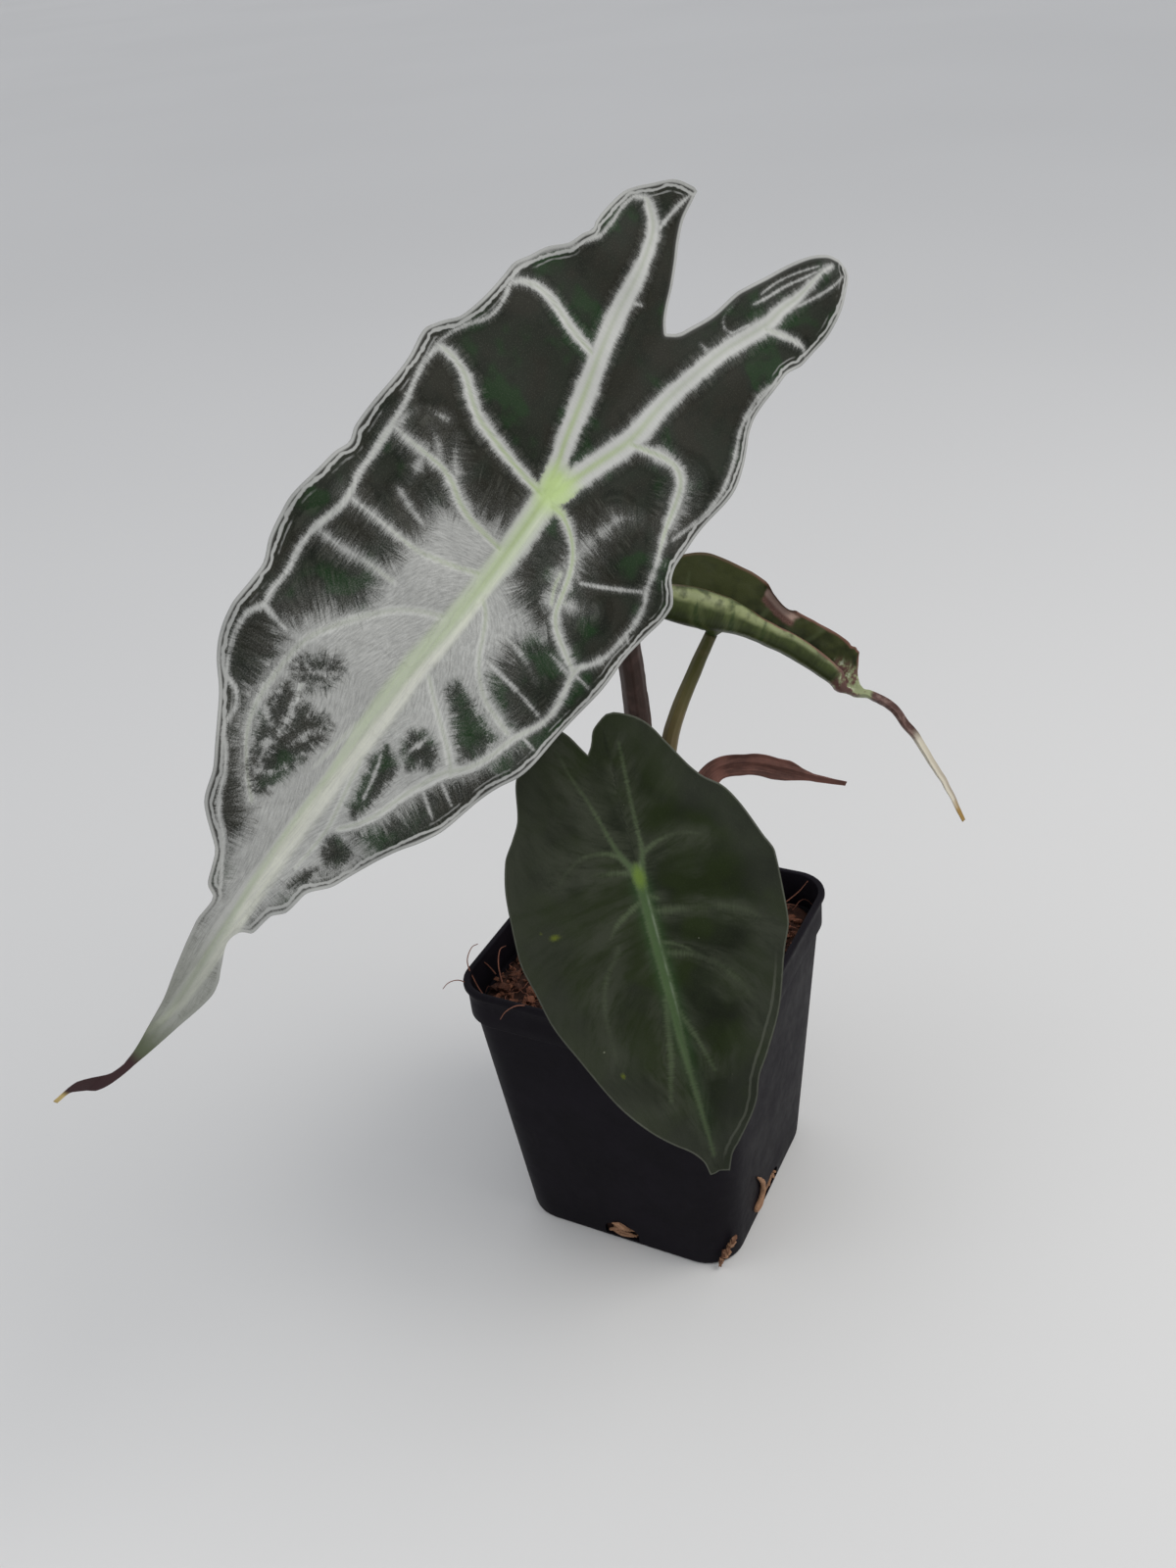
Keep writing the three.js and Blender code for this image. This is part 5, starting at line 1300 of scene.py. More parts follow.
def stalk_finish(name, shade, other, blush):
    """A stalk: fine streaks along it, mottled, and another colour towards its head."""
    f = Finish(name, Specular_IOR_Level=0.2)
    run, turn = f.fields("run turn")
    streak = f.strands(turn * 5, run * 5, 0, 3, 0.6)
    cloud, grit = f.noise(5, None, 3), f.noise(0.45)
    mottled = f.layers(
        shade,
        (f.between(run + (cloud - 0.5) * 0.2, 0.5, 0.95), other),
        (f.between(streak, 0.4, 0.75) * 0.45, lighter(shade, 0.45)),
        (f.between(cloud, 0.5, 0.75) * 0.35, blush),
        (f.between(grit, 0.62, 0.8) * 0.3, lighter(other, 1.6)),
    )
    f.relief((streak, 0.09), (grit, 0.04))
    return f.surface(mottled, f.between(streak, 0.3, 0.8, 0.34, 0.52))


def dry_sheath_finish(settings):
    """Papery dried sheath: long fibres, paler folds and dark veins."""
    f = Finish("Dried sheath", Specular_IOR_Level=0.3)
    run, across = f.fields("run across")
    fibre = f.strands(across * 2.6, run * 0.11, 0, 3, 0.65)
    shade = f.layers(
        lighter(settings.dry, 0.6),
        (f.between(f.noise(5, None, 3), 0.3, 0.75), lighter(settings.dry, 1.3)),
        (f.between(fibre, 0.5, 0.72) * 0.6, (0.23, 0.115, 0.09)),
        (f.between(fibre, 0.42, 0.28) * 0.7, (0.032, 0.012, 0.01)),
    )
    f.relief((fibre, 0.25), (f.noise(0.6, None, 3), 0.08))
    return f.surface(shade, f.between(fibre, 0.3, 0.7, 0.6, 0.8))


def pot_finish(settings):
    """Moulded black plastic: a faint grain, scuffs, and dust from the mix."""
    f = Finish("Moulded black plastic", Specular_IOR_Level=0.04)
    grain, cloud = f.noise(0.3, None, 3, 0.6), f.noise(16, None, 4, 0.6)
    scuff = f.noise(1, f.stretched(260, 260, 40), 4, 0.7)
    dust = f.noise(3.5, None, 5, 0.7)
    shade = f.layers(
        settings.plastic,
        (f.between(cloud, 0.35, 0.7), lighter(settings.plastic, 1.5)),
        (f.between(scuff, 0.62, 0.8) * 0.35, (0.02, 0.018, 0.022)),
        (f.between(dust + (grain - 0.5) * 0.3, 0.66, 0.82) * 0.35, (0.035, 0.024, 0.019)),
    )
    f.relief((cloud, 0.2), (grain, 0.02), (scuff, 0.03))
    return f.surface(shade, f.between(cloud * 0.6 + dust * 0.4, 0.3, 0.7, 0.42, 0.58))


def mix_finish(name, dark, light, fibrous):
    """Coco husk: fibrous brown with dark pores and paler broken faces."""
    f = Finish(name, Specular_IOR_Level=0.25)
    (tone,) = f.fields("tone")
    fibre = f.noise(1, f.stretched(2600, 900, 2600, (0.4, 0.7, 0.2)), 4, 0.7)
    lump, pore = f.noise(1.5, None, 4, 0.65), f.noise(0.25, None, 3, 0.7)
    shade = f.layers(
        dark,
        (f.between(tone + (lump - 0.5) * 0.6, 0.1, 0.95), light),
        (f.between(fibre, 0.5, 0.78) * fibrous, lighter(light, 1.5)),
        (f.between(pore, 0.5, 0.3) * 0.65, lighter(dark, 0.4)),
    )
    f.relief((lump, 0.3), (fibre, 0.2), (pore, 0.12))
    return f.surface(shade, f.between(pore, 0.3, 0.8, 0.95, 0.78))


def crown_finish():
    """Corky stem: rings of old leaf scars, brown over green."""
    f = Finish("Corky stem", Specular_IOR_Level=0.3)
    ring = f.noise(1, f.stretched(160, 160, 1100), 3)
    lump, pore = f.noise(2.2, None, 4, 0.6), f.noise(0.4, None, 3)
    shade = f.layers(
        (0.07, 0.04, 0.022),
        (f.between(lump, 0.3, 0.75), (0.2, 0.14, 0.075)),
        (f.between(ring, 0.5, 0.7) * 0.6, (0.045, 0.022, 0.014)),
    )
    f.relief((ring, 0.4), (lump, 0.3), (pore, 0.1))
    return f.surface(shade, f.between(pore, 0.3, 0.8, 0.9, 0.7))


def floor_finish(settings):
    """Plain matte floor."""
    f = Finish("Plain floor", Specular_IOR_Level=0.2, Roughness=0.75)
    return f.surface(f.blend(f.between(f.noise(900), 0.3, 0.7), settings.floor, lighter(settings.floor, 1.03)))


# ---- Pot ----


class ALOCASIA_OT_pot(bpy.types.Operator):
    """Build the square nursery pot with its collar, lip and drain slots"""

    bl_idname = "alocasia.pot"
    bl_label = "Nursery Pot"
    bl_options = {"REGISTER", "UNDO"}

    def execute(self, context):
        settings = context.scene.alocasia_pot
        pot = add_piece("nursery_pot", *loft(pot_rings(settings)), [pot_finish(settings)], node="pot")
        cut(pot, slot_cutters(settings))
        pot.data.shade_smooth()
        pot.data.set_sharp_from_angle(angle=math.radians(38))
        return {"FINISHED"}


def pot_wall(settings, height):
    """Half the side and the corner radius of the outer wall at a height below the collar, in millimetres."""
    part = height / ((settings.height - settings.collar_height) / MM)
    top = settings.rim_side / MM / 2 - 1.9
    half = settings.base_side / MM / 2
    return half + (top - half) * part, 12 - part


def pot_rings(settings):
    """The pot's skin, from under the floor, up the outside, over the lip and down the inside."""
    top, rim, wall = settings.height / MM, settings.rim_side / MM / 2, settings.wall / MM
    collar, lip = top - settings.collar_height / MM, top - 2.4
    base, _ = pot_wall(settings, 0)
    shoulder, _ = pot_wall(settings, collar)
    out = shoulder + 1.1
    # Each ring is (height, half its side, corner radius).
    rings = [(0.9, base - 6, 8), (0.7, base - 3.4, 10), (0, base - 2.4, 10.6), (0, base - 1.2, 11.2)]
    for turn in map(math.radians, (25, 50, 75)):
        rings.append((1.2 - 1.2 * math.cos(turn), base - 1.2 + 1.2 * math.sin(turn), 12))
    rings += [(height, *pot_wall(settings, height)) for height in np.linspace(2, collar - 0.8, 16)]
    rings += [
        (collar - 0.2, shoulder, 11), (collar + 0.2, shoulder + 0.25, 11), (collar + 0.6, out - 0.15, 11),
        (collar + 0.95, out, 11), (collar + 4, out, 11), (collar + 7.5, out, 11),
        (lip - 0.3, out, 11), (lip + 0.1, out + 0.2, 11), (lip + 0.45, rim - 0.12, 11), (lip + 0.8, rim, 11),
        (top - 0.8, rim, 11), (top - 0.35, rim - 0.12, 10.9), (top - 0.1, rim - 0.35, 10.7),
        (top, rim - 0.7, 10.4), (top, out - wall + 0.5, 10), (top - 0.15, out - wall + 0.15, 9.8),
        (top - 0.6, out - wall, 9.8), (collar + 0.6, out - wall, 9.8), (collar - 0.6, shoulder - wall, 9.8),
    ]
    for height in np.linspace(collar - 6, 2.4, 8):
        half, corner = pot_wall(settings, height)
        rings.append((height, half - wall, corner - wall))
    half, corner = pot_wall(settings, 1.6)
    rings.append((1.6, half - wall - 0.8, corner - wall))
    return [bowed(square_ring(half, corner, height, 10), collar) for height, half, corner in rings]


def bowed(ring, collar):
    """A filled pot's sides bow out a little at mid height."""
    height, half = ring[0][2], np.abs(ring[:, :2]).max()
    swell = 0.45 * math.sin(math.pi * min(max(height, 0) / collar, 1)) if height < collar else 0
    shifted = ring.copy()
    for axis, other in ((0, 1), (1, 0)):
        across, along = ring[:, axis], ring[:, other]
        bulge = np.clip(1 - (along / (half - 8)) ** 2, 0, 1) * swell
        shifted[:, axis] += np.where(np.abs(across) > half - 0.01, np.sign(across) * bulge, 0)
    return shifted


def arch_block(half, foot, top, start, end):
    """A round-topped block that runs along -Y from start to end."""
    shoulder = top - half * 0.55
    turns = np.linspace(0, math.pi, 15)
    arch = [(half * math.cos(t), shoulder + (top - shoulder) * math.sin(t)) for t in turns]
    outline = [(-half, foot), (half, foot), *arch]
    return loft([[(x, -y, z) for x, z in outline] for y in (start, end)])


def slot_cutters(settings):
    """A block for the drain slot at the foot of each of the four sides."""
    half = settings.base_side / MM / 2
    points, faces = arch_block(*SLOT, half - 3.6, half + 3)
    turns = [np.array([(c, s, 0), (-s, c, 0), (0, 0, 1)]) for c, s in QUARTERS]
    points, faces = joined([(points @ turn, faces) for turn in turns])
    mesh = bpy.data.meshes.new("slot cutter")
    mesh.from_pydata((points * MM).tolist(), [], faces)
    bm = bmesh.new()
    bm.from_mesh(mesh)
    bmesh.ops.recalc_face_normals(bm, faces=bm.faces)
    bm.to_mesh(mesh)
    bm.free()
    return linked("slot cutter", mesh)


def cut(piece, cutter):
    """Takes the cutter's shape out of a piece, and throws the cutter away."""
    modifier = piece.modifiers.new("slots", "BOOLEAN")
    modifier.operation, modifier.solver, modifier.object = "DIFFERENCE", "EXACT", cutter
    bpy.context.view_layer.update()
    done = bpy.data.meshes.new_from_object(piece.evaluated_get(bpy.context.evaluated_depsgraph_get()))
    piece.modifiers.clear()
    piece.data = done
    bpy.data.objects.remove(cutter)


# ---- Potting mix ----


def inner_half(settings, height):
    """Half the side and the corner radius of the room inside the pot at a height."""
    half, corner = pot_wall(settings, height)
    return half - settings.wall / MM - 0.25, corner - settings.wall / MM


def mix_top(x, y, level):
    """Height of the mix between the loose chips."""
    places = np.column_stack([x, y])
    return level + 1.3 * ripple(places, 13, 11) + 0.9 * ripple(places, 4.2, 12, 2)


class Heap:
    """Loose bits of the mix that make one piece, each bit with its own tone."""

    def __init__(self):
        self.parts, self.tones = [], []

    def add(self, points, faces, tone):
        self.parts.append((points, faces))
        self.tones += [tone] * len(points)

    def make(self, name, finish, sharp=None):
        tones = {"tone": self.tones}
        add_piece(name, *joined(self.parts), [finish], slot="potting_mix", fields=tones, sharp=sharp)


class ALOCASIA_OT_potting_mix(bpy.types.Operator):
    """Build the coco mix with its husk chips, coir fibres and the roots in the drain slots"""

    bl_idname = "alocasia.potting_mix"
    bl_label = "Potting Mix"
    bl_options = {"REGISTER", "UNDO"}

    def execute(self, context):
        pot, mix = context.scene.alocasia_pot, context.scene.alocasia_mix
        level = mix.level / MM - 1.2
        self.body(pot, level, mix_finish("Fine coco mix", lighter(mix.peat, 0.6), lighter(mix.husk, 0.5), 0.25))
        self.chips(pot, mix, level, mix_finish("Coco husk", mix.peat, mix.husk, 0.5))
        self.fibres(pot, mix, level, mix_finish("Coir fibre", (0.08, 0.028, 0.018), (0.24, 0.1, 0.065), 0.4))
        self.roots(mix_finish("Roots and husk", (0.09, 0.035, 0.02), (0.34, 0.19, 0.11), 0.35))
        return {"FINISHED"}

    def body(self, pot, level, finish):
        rings = [square_ring(*inner_half(pot, height), height, 14, 6) for height in (1.9, 30, 60)]
        edge = square_ring(*inner_half(pot, level - 2), level - 2, 14, 6)[:, :2]
        turn = np.arctan2(edge[:, 1], edge[:, 0])
        hole = np.column_stack([STEM_HOLE * np.cos(turn), STEM_HOLE * np.sin(turn)])
        for part in np.linspace(0, 1, 46):
            flat = edge + (hole - edge) * part
            height = mix_top(flat[:, 0], flat[:, 1], level) - 2 * (1 - ease(part, 0, 0.06))
            rings.append(np.column_stack([flat, height]))
        rings.append(np.column_stack([hole, np.full(len(hole), CROWN_PROFILE[0][0])]))
        points, faces = loft(rings)
        tone = 0.35 + 0.35 * ripple(points, 3, 21, 2)
        add_piece("coco_mix", points, faces, [finish], node="potting_mix", fields={"tone": tone})

    def chips(self, pot, mix, level, finish):
        rng = np.random.default_rng(5)
        shapes = [chip_shape(rng) for _ in range(14)]
        reach = inner_half(pot, level)[0] - 0.6
        heap, placed = Heap(), 0
        while placed < mix.chips:
            x, y = rng.uniform(-reach, reach, 2)
            size = mix.chip_size / MM * rng.choice([0.45, 0.7, 1, 1.35], p=[0.3, 0.35, 0.27, 0.08])
            size *= rng.uniform(0.8, 1.2)
            corner = max(abs(x), abs(y)) + size * 0.45 > reach or abs(x) + abs(y) > 2 * reach - 8 - size
            if corner or math.hypot(x, y) < STEM_HOLE + size * 0.4:
                continue
            placed += 1
            points, faces = shapes[rng.integers(len(shapes))]
            turn = turned(rng.uniform(-0.5, 0.5), rng.uniform(-0.5, 0.5), rng.uniform(0, 2 * math.pi))
            lift = mix_top(np.array([x]), np.array([y]), level)[0] + rng.uniform(-0.25, 0.9) + size * 0.08
            points = (points * size * rng.uniform(0.8, 1.2, 3)) @ turn + (x, y, lift)
            heap.add(points, faces, rng.uniform(0.15, 1))
        heap.make("husk_chips", finish, 20)

    def fibres(self, pot, mix, level, finish):
        rng = np.random.default_rng(9)
        reach = inner_half(pot, level)[0] - 1.5
        heap = Heap()
        for _ in range(mix.fibres):
            x, y = rng.uniform(-reach, reach, 2)
            if math.hypot(x, y) < STEM_HOLE + 1.9 or abs(x) + abs(y) > 2 * reach - 10:
                continue
            heap.add(*self.fibre(rng, x, y, level, reach), rng.uniform(0.1, 1))
        for stray in STRAY_FIBRES:
            path = curve_through(stray, 0.8)
            heap.add(*tube(path, np.linspace(0.26, 0.12, len(path)), 6), 0.8)
        heap.make("coir_fibres", finish)

    def fibre(self, rng, x, y, level, reach):
        """A thin fibre that bends about over the chips."""
        heading, count = rng.uniform(0, 2 * math.pi), int(rng.integers(7, 15))
        path = [(x, y)]
        for _ in range(count):
            heading += rng.normal(0, 0.35)
            x, y = x + 1.3 * math.cos(heading), y + 1.3 * math.sin(heading)
            path.append((x, y))
        path = np.clip(path, -reach, reach)
        path *= np.maximum(1, 12 / np.maximum(np.hypot(*path.T), 1))[:, None]
        arc = np.sin(np.linspace(0, math.pi, len(path))) * rng.uniform(0.2, 2.6)
        height = mix_top(path[:, 0], path[:, 1], level) + 0.6 + arc
        thick = rng.uniform(0.09, 0.2)
        path = curve_through(np.column_stack([path, height]), 0.9)
        return tube(path, thick * np.linspace(1, 0.6, len(path)), 5)

    def roots(self, finish):
        """Root ends and husk that fill the drain slots, and bits of mix on the pot's foot."""
        rng = np.random.default_rng(3)
        heap = Heap()
        low, high = SLOT_FILL
        for c, s in QUARTERS[3:] + QUARTERS[:3]:
            facing = np.array([(-s, c, 0), (c, s, 0), (0, 0, 1)], float)
            for _ in range(26):
                size = rng.uniform(1.4, 3.4)
                points, faces = chip_shape(rng)
                spot = np.array([rng.uniform(-4.8, 4.8), 34.6 + rng.uniform(0, 1), rng.uniform(2.8, 6.4)])
                points = np.clip((points * size) @ turned(*rng.uniform(0, 6.28, 3)) + spot, low, high)
                heap.add(points @ facing, faces, rng.uniform(0.3, 1))
            for _ in range(5):
                a, b = rng.uniform(-5, 5), rng.uniform(-5, 5)
                line = [(a, 36.2, rng.uniform(2.4, 6)), ((a + b) / 2, 37.2, rng.uniform(2.6, 6.5))]
                path = curve_through([*line, (b, 36.2, rng.uniform(2.4, 6))], 0.6)
                points, faces = tube(path, np.full(len(path), rng.uniform(0.35, 0.6)), 8)
                heap.add(points @ facing, faces, 0.7)
        for spot in np.linspace(*CRUMBS):
            points, faces = chip_shape(rng)
            spot = spot + rng.normal(0, 0.8, 3) * (0.4, 0.4, 1)
            points = (points * rng.uniform(1.8, 4)) @ turned(*rng.uniform(0, 6.28, 3)) + spot
            heap.add(points, faces, rng.uniform(0.3, 0.9))
        place, size, turn = CHUNK
        points, faces = chip_shape(rng)
        heap.add((points * size) @ turned(*turn) + place, faces, 1.5)
        line, radii = STRAY_ROOT
        path = curve_through(line, 0.6)
        points, faces = tube(path, tapered(radii, len(path)), 10)
        heap.add(points + 0.12 * ripple(points, 1.2, 5)[:, None], faces, 1.6)
        heap.make("slot_roots", finish, 30)


def turned(*angles):
    """A turn about X, then Y, then Z, for points in rows."""
    (cx, sx), (cy, sy), (cz, sz) = ((math.cos(a), math.sin(a)) for a in angles)
    about_x = np.array([(1, 0, 0), (0, cx, sx), (0, -sx, cx)])
    about_y = np.array([(cy, 0, -sy), (0, 1, 0), (sy, 0, cy)])
    return about_x @ about_y @ np.array([(cz, sz, 0), (-sz, cz, 0), (0, 0, 1)])


def chip_shape(rng):
    """A broken husk chip about 1 long, as (points, faces)."""
    spots = unit(rng.normal(size=(13, 3))) * rng.uniform(0.75, 1, (13, 1))
    spots = spots * (0.5, rng.uniform(0.3, 0.44), rng.uniform(0.22, 0.36))
    bm = bmesh.new()
    for spot in spots:
        bm.verts.new(spot)
    bmesh.ops.convex_hull(bm, input=bm.verts)
    bmesh.ops.delete(bm, geom=[v for v in bm.verts if not v.link_faces], context="VERTS")
    bm.verts.index_update()
    points = np.array([v.co for v in bm.verts])
    faces = [[v.index for v in face.verts] for face in bm.faces]
    bm.free()
    return points, faces


# ---- Stem and stalks ----


class ALOCASIA_OT_rhizome(bpy.types.Operator):
    """Build the short ringed stem that the stalks grow from"""

    bl_idname = "alocasia.rhizome"
    bl_label = "Rhizome"
    bl_options = {"REGISTER", "UNDO"}

    def execute(self, context):
        turn = np.linspace(0, 2 * np.pi, 72, endpoint=False)
        rings = []
        for height in np.linspace(CROWN_PROFILE[0][0], CROWN_PROFILE[-1][0], 60):
            radius = flowing(CROWN_PROFILE, np.array([height]))[0] - 0.3
            rings.append(np.column_stack([radius * np.cos(turn), radius * np.sin(turn), np.full(72, height)]))
        top = rings[-1]
        rings += [top * (share, share, 1) + (0, 0, 0.3 * (1 - share)) for share in (0.8, 0.5, 0.2)]
        points, faces = loft(rings)
        outward = unit(points * (1, 1, 0) + (1e-6, 0, 0))
        bumps = 0.35 * ripple(points * (1, 1, 2.2), 4, 8, 2) + 0.18 * ripple(points * (0.5, 0.5, 3), 2, 9)
        points = points + outward * np.minimum(bumps, 0.25)[:, None]
        add_piece("crown_stem", points, faces, [crown_finish()], node="rhizome")
        return {"FINISHED"}


def build_stalk(name, node, leaf, surface, finish):
    """A stalk from the crown to its leaf's joint, which it meets square, with faint ridges along it."""
    point, normal = surface
    _, knob_depth = leaf["knob"]
    end = point(np.zeros(1), np.zeros(1), np.array([knob_depth - 0.3]))[0]
    path = curve_through([*leaf["stalk"], end - normal * STALK_LEAD, end], 0.9)
    sides = 36
    points, faces = tube(path, tapered(leaf["stalk_radii"], len(path)), sides, ends={len(path) - 1: normal})
    centre = np.vstack([np.repeat(path, sides, axis=0), path[:1], path[-1:]])
    run = np.concatenate([np.repeat(np.linspace(0, 1, len(path)), sides), [0, 1]])
    turn = np.concatenate([np.tile(np.arange(sides) / sides, len(path)), [0, 0]])
    ridges = 0.03 * np.cos(2 * np.pi * turn * 9)
    ridges = ridges + 0.05 * ripple(points, 6, 14, 2) + 0.012 * ripple(points, 1.1, 15)
    points = centre + (points - centre) * (1 + ridges)[:, None]
    fields = {"run": run, "turn": np.abs(turn * 2 - 1) * 3}
    return add_piece(name, points, faces, [finish], node=node, fields=fields)


class ALOCASIA_OT_stalks(bpy.types.Operator):
    """Build the three leaf stalks, from the crown to their leaves"""

    bl_idname = "alocasia.stalks"
    bl_label = "Leaf Stalks"
    bl_options = {"REGISTER", "UNDO"}

    def execute(self, context):
        colours = context.scene.alocasia_stalks
        brown = stalk_finish("Brown stalk", lighter(colours.brown, 0.8), colours.brown, (0.11, 0.06, 0.052))
        green = stalk_finish("Green stalk", lighter(colours.olive, 0.8), colours.olive, (0.11, 0.12, 0.04))
        tan = stalk_finish("Olive stalk", (0.16, 0.115, 0.055), lighter(colours.olive, 1.2), (0.15, 0.1, 0.06))
        build_stalk("silver_leaf_stalk", "petiole_venom", VENOM, broad_leaf(VENOM, venom_height), brown)
        build_stalk("young_leaf_stalk", "petiole_young", YOUNG, broad_leaf(YOUNG, young_height), green)
        build_stalk("rolled_leaf_stalk", "petiole_curled", ROLLED, rolled_leaf(ROLLED), tan)
        return {"FINISHED"}


class ALOCASIA_OT_silver_leaf(bpy.types.Operator):
    """Build the large leaf with silver feathered veins and a long drip tip"""

    bl_idname = "alocasia.silver_leaf"
    bl_label = "Silver Leaf"
    bl_options = {"REGISTER", "UNDO"}

    def execute(self, context):
        leaves = context.scene.alocasia_leaves
        drawing = {
            "ribs": VENOM_RIBS, "veins": VENOM_VEINS, "grounds": VENOM_SILVER, "windows": VENOM_WINDOWS,
            "wisps": VENOM_WISPS,
        }
        build_leaf(
            "silver_leaf", "leaf_venom", VENOM, broad_leaf(VENOM, venom_height), leaves, leaves.columns,
            drawing, [silver_vein_finish(leaves), underside_finish(leaves)],
            {"rib": 0.5, "vein": 0.3, "ridge": 1.7, "grain": 0.06, "quilt": 0.35}, venom_bands,
        )
        return {"FINISHED"}


class ALOCASIA_OT_young_leaf(bpy.types.Operator):
    """Build the young dark green leaf"""

    bl_idname = "alocasia.young_leaf"
    bl_label = "Young Leaf"
    bl_options = {"REGISTER", "UNDO"}

    def execute(self, context):
        leaves = context.scene.alocasia_leaves
        build_leaf(
            "young_leaf", "leaf_young", YOUNG, broad_leaf(YOUNG, young_height), leaves, leaves.columns - 20,
            {"ribs": YOUNG_RIBS, "veins": YOUNG_VEINS}, [young_leaf_finish(leaves), underside_finish(leaves)],
            {"rib": 0.35, "vein": 0.25, "ridge": 1.2, "grain": 0.07, "quilt": 0.9}, young_bands,
        )
        return {"FINISHED"}


class ALOCASIA_OT_rolled_leaf(bpy.types.Operator):
    """Build the third leaf, rolled lengthwise, with its dried drip tip"""

    bl_idname = "alocasia.rolled_leaf"
    bl_label = "Rolled Leaf"
    bl_options = {"REGISTER", "UNDO"}

    def execute(self, context):
        leaves = context.scene.alocasia_leaves
        build_leaf(
            "rolled_leaf", "leaf_curled", ROLLED, rolled_leaf(ROLLED), leaves, 26,
            {"ribs": ROLLED_RIBS, "veins": ROLLED_VEINS},
            [rolled_inside_finish(leaves), rolled_outside_finish(leaves)],
            {"rib": 0.2, "vein": 0.12, "ridge": 0.8, "grain": 0.08, "quilt": 0.3},
        )
        return {"FINISHED"}


class ALOCASIA_OT_dry_sheath(bpy.types.Operator):
    """Build the dried sheath that leans out of the crown"""

    bl_idname = "alocasia.dry_sheath"
    bl_label = "Dry Sheath"
    bl_options = {"REGISTER", "UNDO"}

    def execute(self, context):
        spine = curve_through(SHEATH["spine"], 0.7)
        along = unit(np.gradient(spine, axis=0))
        across = unit(np.cross(unit(SHEATH["face"]), along))
        out = np.cross(along, across)
        run = np.linspace(0, steps(spine).sum(), len(spine))
        wide = 29
        rows = (spine, across, out, at(SHEATH["half_width"], run), run)
        spine, across, out, half, u = (np.repeat(values, wide, axis=0) for values in rows)
        share = np.tile(np.linspace(1, -1, wide), len(run))
        v = half * share * (1 + 0.12 * ripple(np.column_stack([u, np.sign(share) * 40]), 5, 31, 2))
        crumple = 0.5 * ripple(np.column_stack([u * 0.35, v]), 1.6, 33, 2)
        crumple += 0.35 * ripple(np.column_stack([u, v]), 6, 35, 2)
        lift = v**2 / (2 * SHEATH["channel_radius"]) + crumple * np.minimum(half / 3, 1)
        lift += 0.7 * np.maximum(0, 1.4 - np.abs(v - 0.8)) * ease(u, 50, 62)
        depths = (0, SHEATH["thickness"])
        sides = [spine + across * v[:, None] + out * (lift + depth)[:, None] for depth in depths]
        a = (np.arange(len(run) - 1)[:, None] * wide + np.arange(wide - 1)).ravel()
        faces = np.column_stack([a, a + wide, a + wide + 1, a + 1])
        start, end = margin_edges(faces).T
        count = len(u)
        wall = np.column_stack([end, start, start + count, end + count])
        every = [*faces.tolist(), *(faces[:, ::-1] + count).tolist(), *wall.tolist()]
        fields = {"run": np.tile(u, 2), "across": np.tile(v, 2)}
        finish = dry_sheath_finish(context.scene.alocasia_stalks)
        add_piece("papery_sheath", np.vstack(sides), every, [finish], node="dry_sheath", fields=fields)
        return {"FINISHED"}


# ---- Stage and sidebar ----

# The camera stands where the picture was taken from, in millimetres. The height of the picture and the
# focal length are in its pixels.
EYE = (164, -319.7, 381)
FORWARD = (-0.4146, 0.7387, -0.5314)
RIGHT = (0.872, 0.489, 0)
ROLL = math.radians(6.26)
FOCAL_PIXELS, FRAME_HEIGHT = 1500, 1600
SENSOR = 36


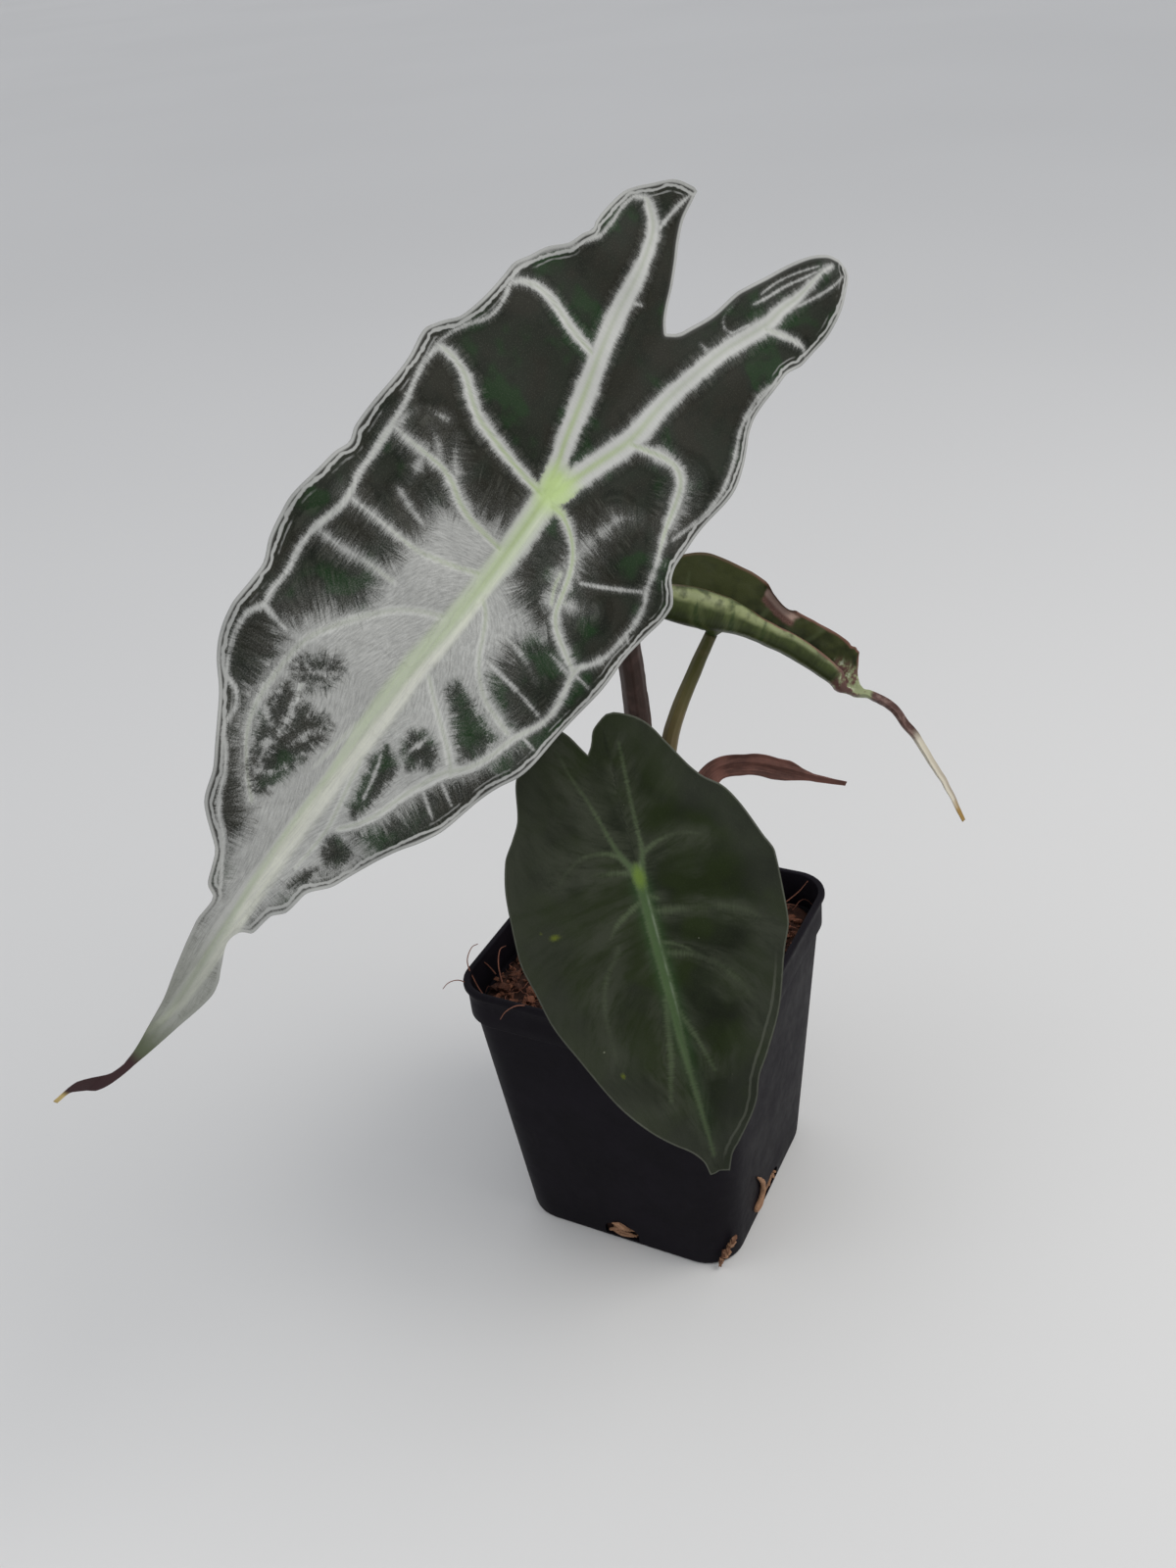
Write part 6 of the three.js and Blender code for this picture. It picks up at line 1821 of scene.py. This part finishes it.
class ALOCASIA_OT_stage(bpy.types.Operator):
    """Set up the plain floor, the soft studio light and the camera"""

    bl_idname = "alocasia.stage"
    bl_label = "Stage"
    bl_options = {"REGISTER", "UNDO"}

    def execute(self, context):
        settings = context.scene.alocasia_stage
        self.floor(settings)
        self.lights(context.scene, settings)
        self.camera(context.scene)
        return {"FINISHED"}

    def floor(self, settings, side=14):
        mesh = bpy.data.meshes.new("floor")
        corners = [(-side, -side, 0), (side, -side, 0), (side, side, 0), (-side, side, 0)]
        mesh.from_pydata(corners, [], [range(4)])
        mesh.materials.append(floor_finish(settings))
        linked("floor", mesh)

    def lights(self, scene, settings):
        world = bpy.data.worlds.new("Soft room")
        world.use_nodes = True
        colour_in, strength = world.node_tree.nodes["Background"].inputs[:2]
        colour_in.default_value, strength.default_value = (0.93, 0.95, 1, 1), settings.sky
        scene.world = world
        scene.view_settings.view_transform = "Standard"
        aim = Vector((0, -0.03, 0.15))
        for name, place, size, watts, tint in (
            ("Key", (0.62, 0.1, 0.95), 0.7, settings.key_power, (1, 0.98, 0.95)),
            ("Fill", (-0.75, -0.75, 0.6), 0.9, settings.fill_power, (0.93, 0.96, 1)),
        ):
            light = bpy.data.lights.new(name, "AREA")
            light.shape, light.size, light.energy, light.color = "DISK", size, watts, tint
            lamp = linked(name, light)
            lamp.location = place
            lamp.rotation_euler = (aim - Vector(place)).to_track_quat("-Z", "Y").to_euler()

    def camera(self, scene):
        level, back = unit(RIGHT), -unit(FORWARD)
        above = np.cross(back, level)
        right = level * math.cos(ROLL) - above * math.sin(ROLL)
        up = level * math.sin(ROLL) + above * math.cos(ROLL)
        lens = bpy.data.cameras.new("Camera")
        lens.sensor_width, lens.lens = SENSOR, SENSOR * FOCAL_PIXELS / FRAME_HEIGHT
        lens.clip_start, lens.clip_end = 0.01, 60
        scene.camera = linked("Camera", lens)
        place = np.column_stack([right, up, back, np.array(EYE) * MM])
        scene.camera.matrix_world = Matrix([*place.tolist(), [0, 0, 0, 1]])


class ALOCASIA_PT_panel(bpy.types.Panel):
    """The alocasia's builders and their settings"""

    bl_idname = "ALOCASIA_PT_panel"
    bl_label = "Potted Venom Alocasia"
    bl_space_type = "VIEW_3D"
    bl_region_type = "UI"
    bl_category = "Alocasia"

    def draw(self, context):
        for name, (group, builders) in SETTINGS.items():
            box = self.layout.box()
            for key in group.__annotations__:
                box.prop(getattr(context.scene, name), key)
            for builder in builders:
                box.operator(f"alocasia.{builder}")


# Each group of settings, with the builders that the panel lists under it.
SETTINGS = {
    "alocasia_pot": (PotSettings, ["pot"]),
    "alocasia_mix": (MixSettings, ["potting_mix", "rhizome"]),
    "alocasia_stalks": (StalkSettings, ["stalks", "dry_sheath"]),
    "alocasia_leaves": (LeafSettings, ["silver_leaf", "young_leaf", "rolled_leaf"]),
    "alocasia_stage": (StageSettings, ["stage"]),
}
# The builders, in the order in which main calls them.
OPERATORS = (
    ALOCASIA_OT_stage,
    ALOCASIA_OT_pot,
    ALOCASIA_OT_potting_mix,
    ALOCASIA_OT_rhizome,
    ALOCASIA_OT_stalks,
    ALOCASIA_OT_silver_leaf,
    ALOCASIA_OT_young_leaf,
    ALOCASIA_OT_rolled_leaf,
    ALOCASIA_OT_dry_sheath,
)
CLASSES = (*(group for group, _ in SETTINGS.values()), *OPERATORS, ALOCASIA_PT_panel)


def register():
    for cls in CLASSES:
        bpy.utils.register_class(cls)
    for name, (group, _) in SETTINGS.items():
        setattr(bpy.types.Scene, name, PointerProperty(type=group))


def unregister():
    for name in SETTINGS:
        delattr(bpy.types.Scene, name)
    for cls in reversed(CLASSES):
        bpy.utils.unregister_class(cls)


def main():
    register()
    for cls in OPERATORS:
        group, action = cls.bl_idname.split(".")
        getattr(getattr(bpy.ops, group), action)()


if __name__ == "__main__":
    main()
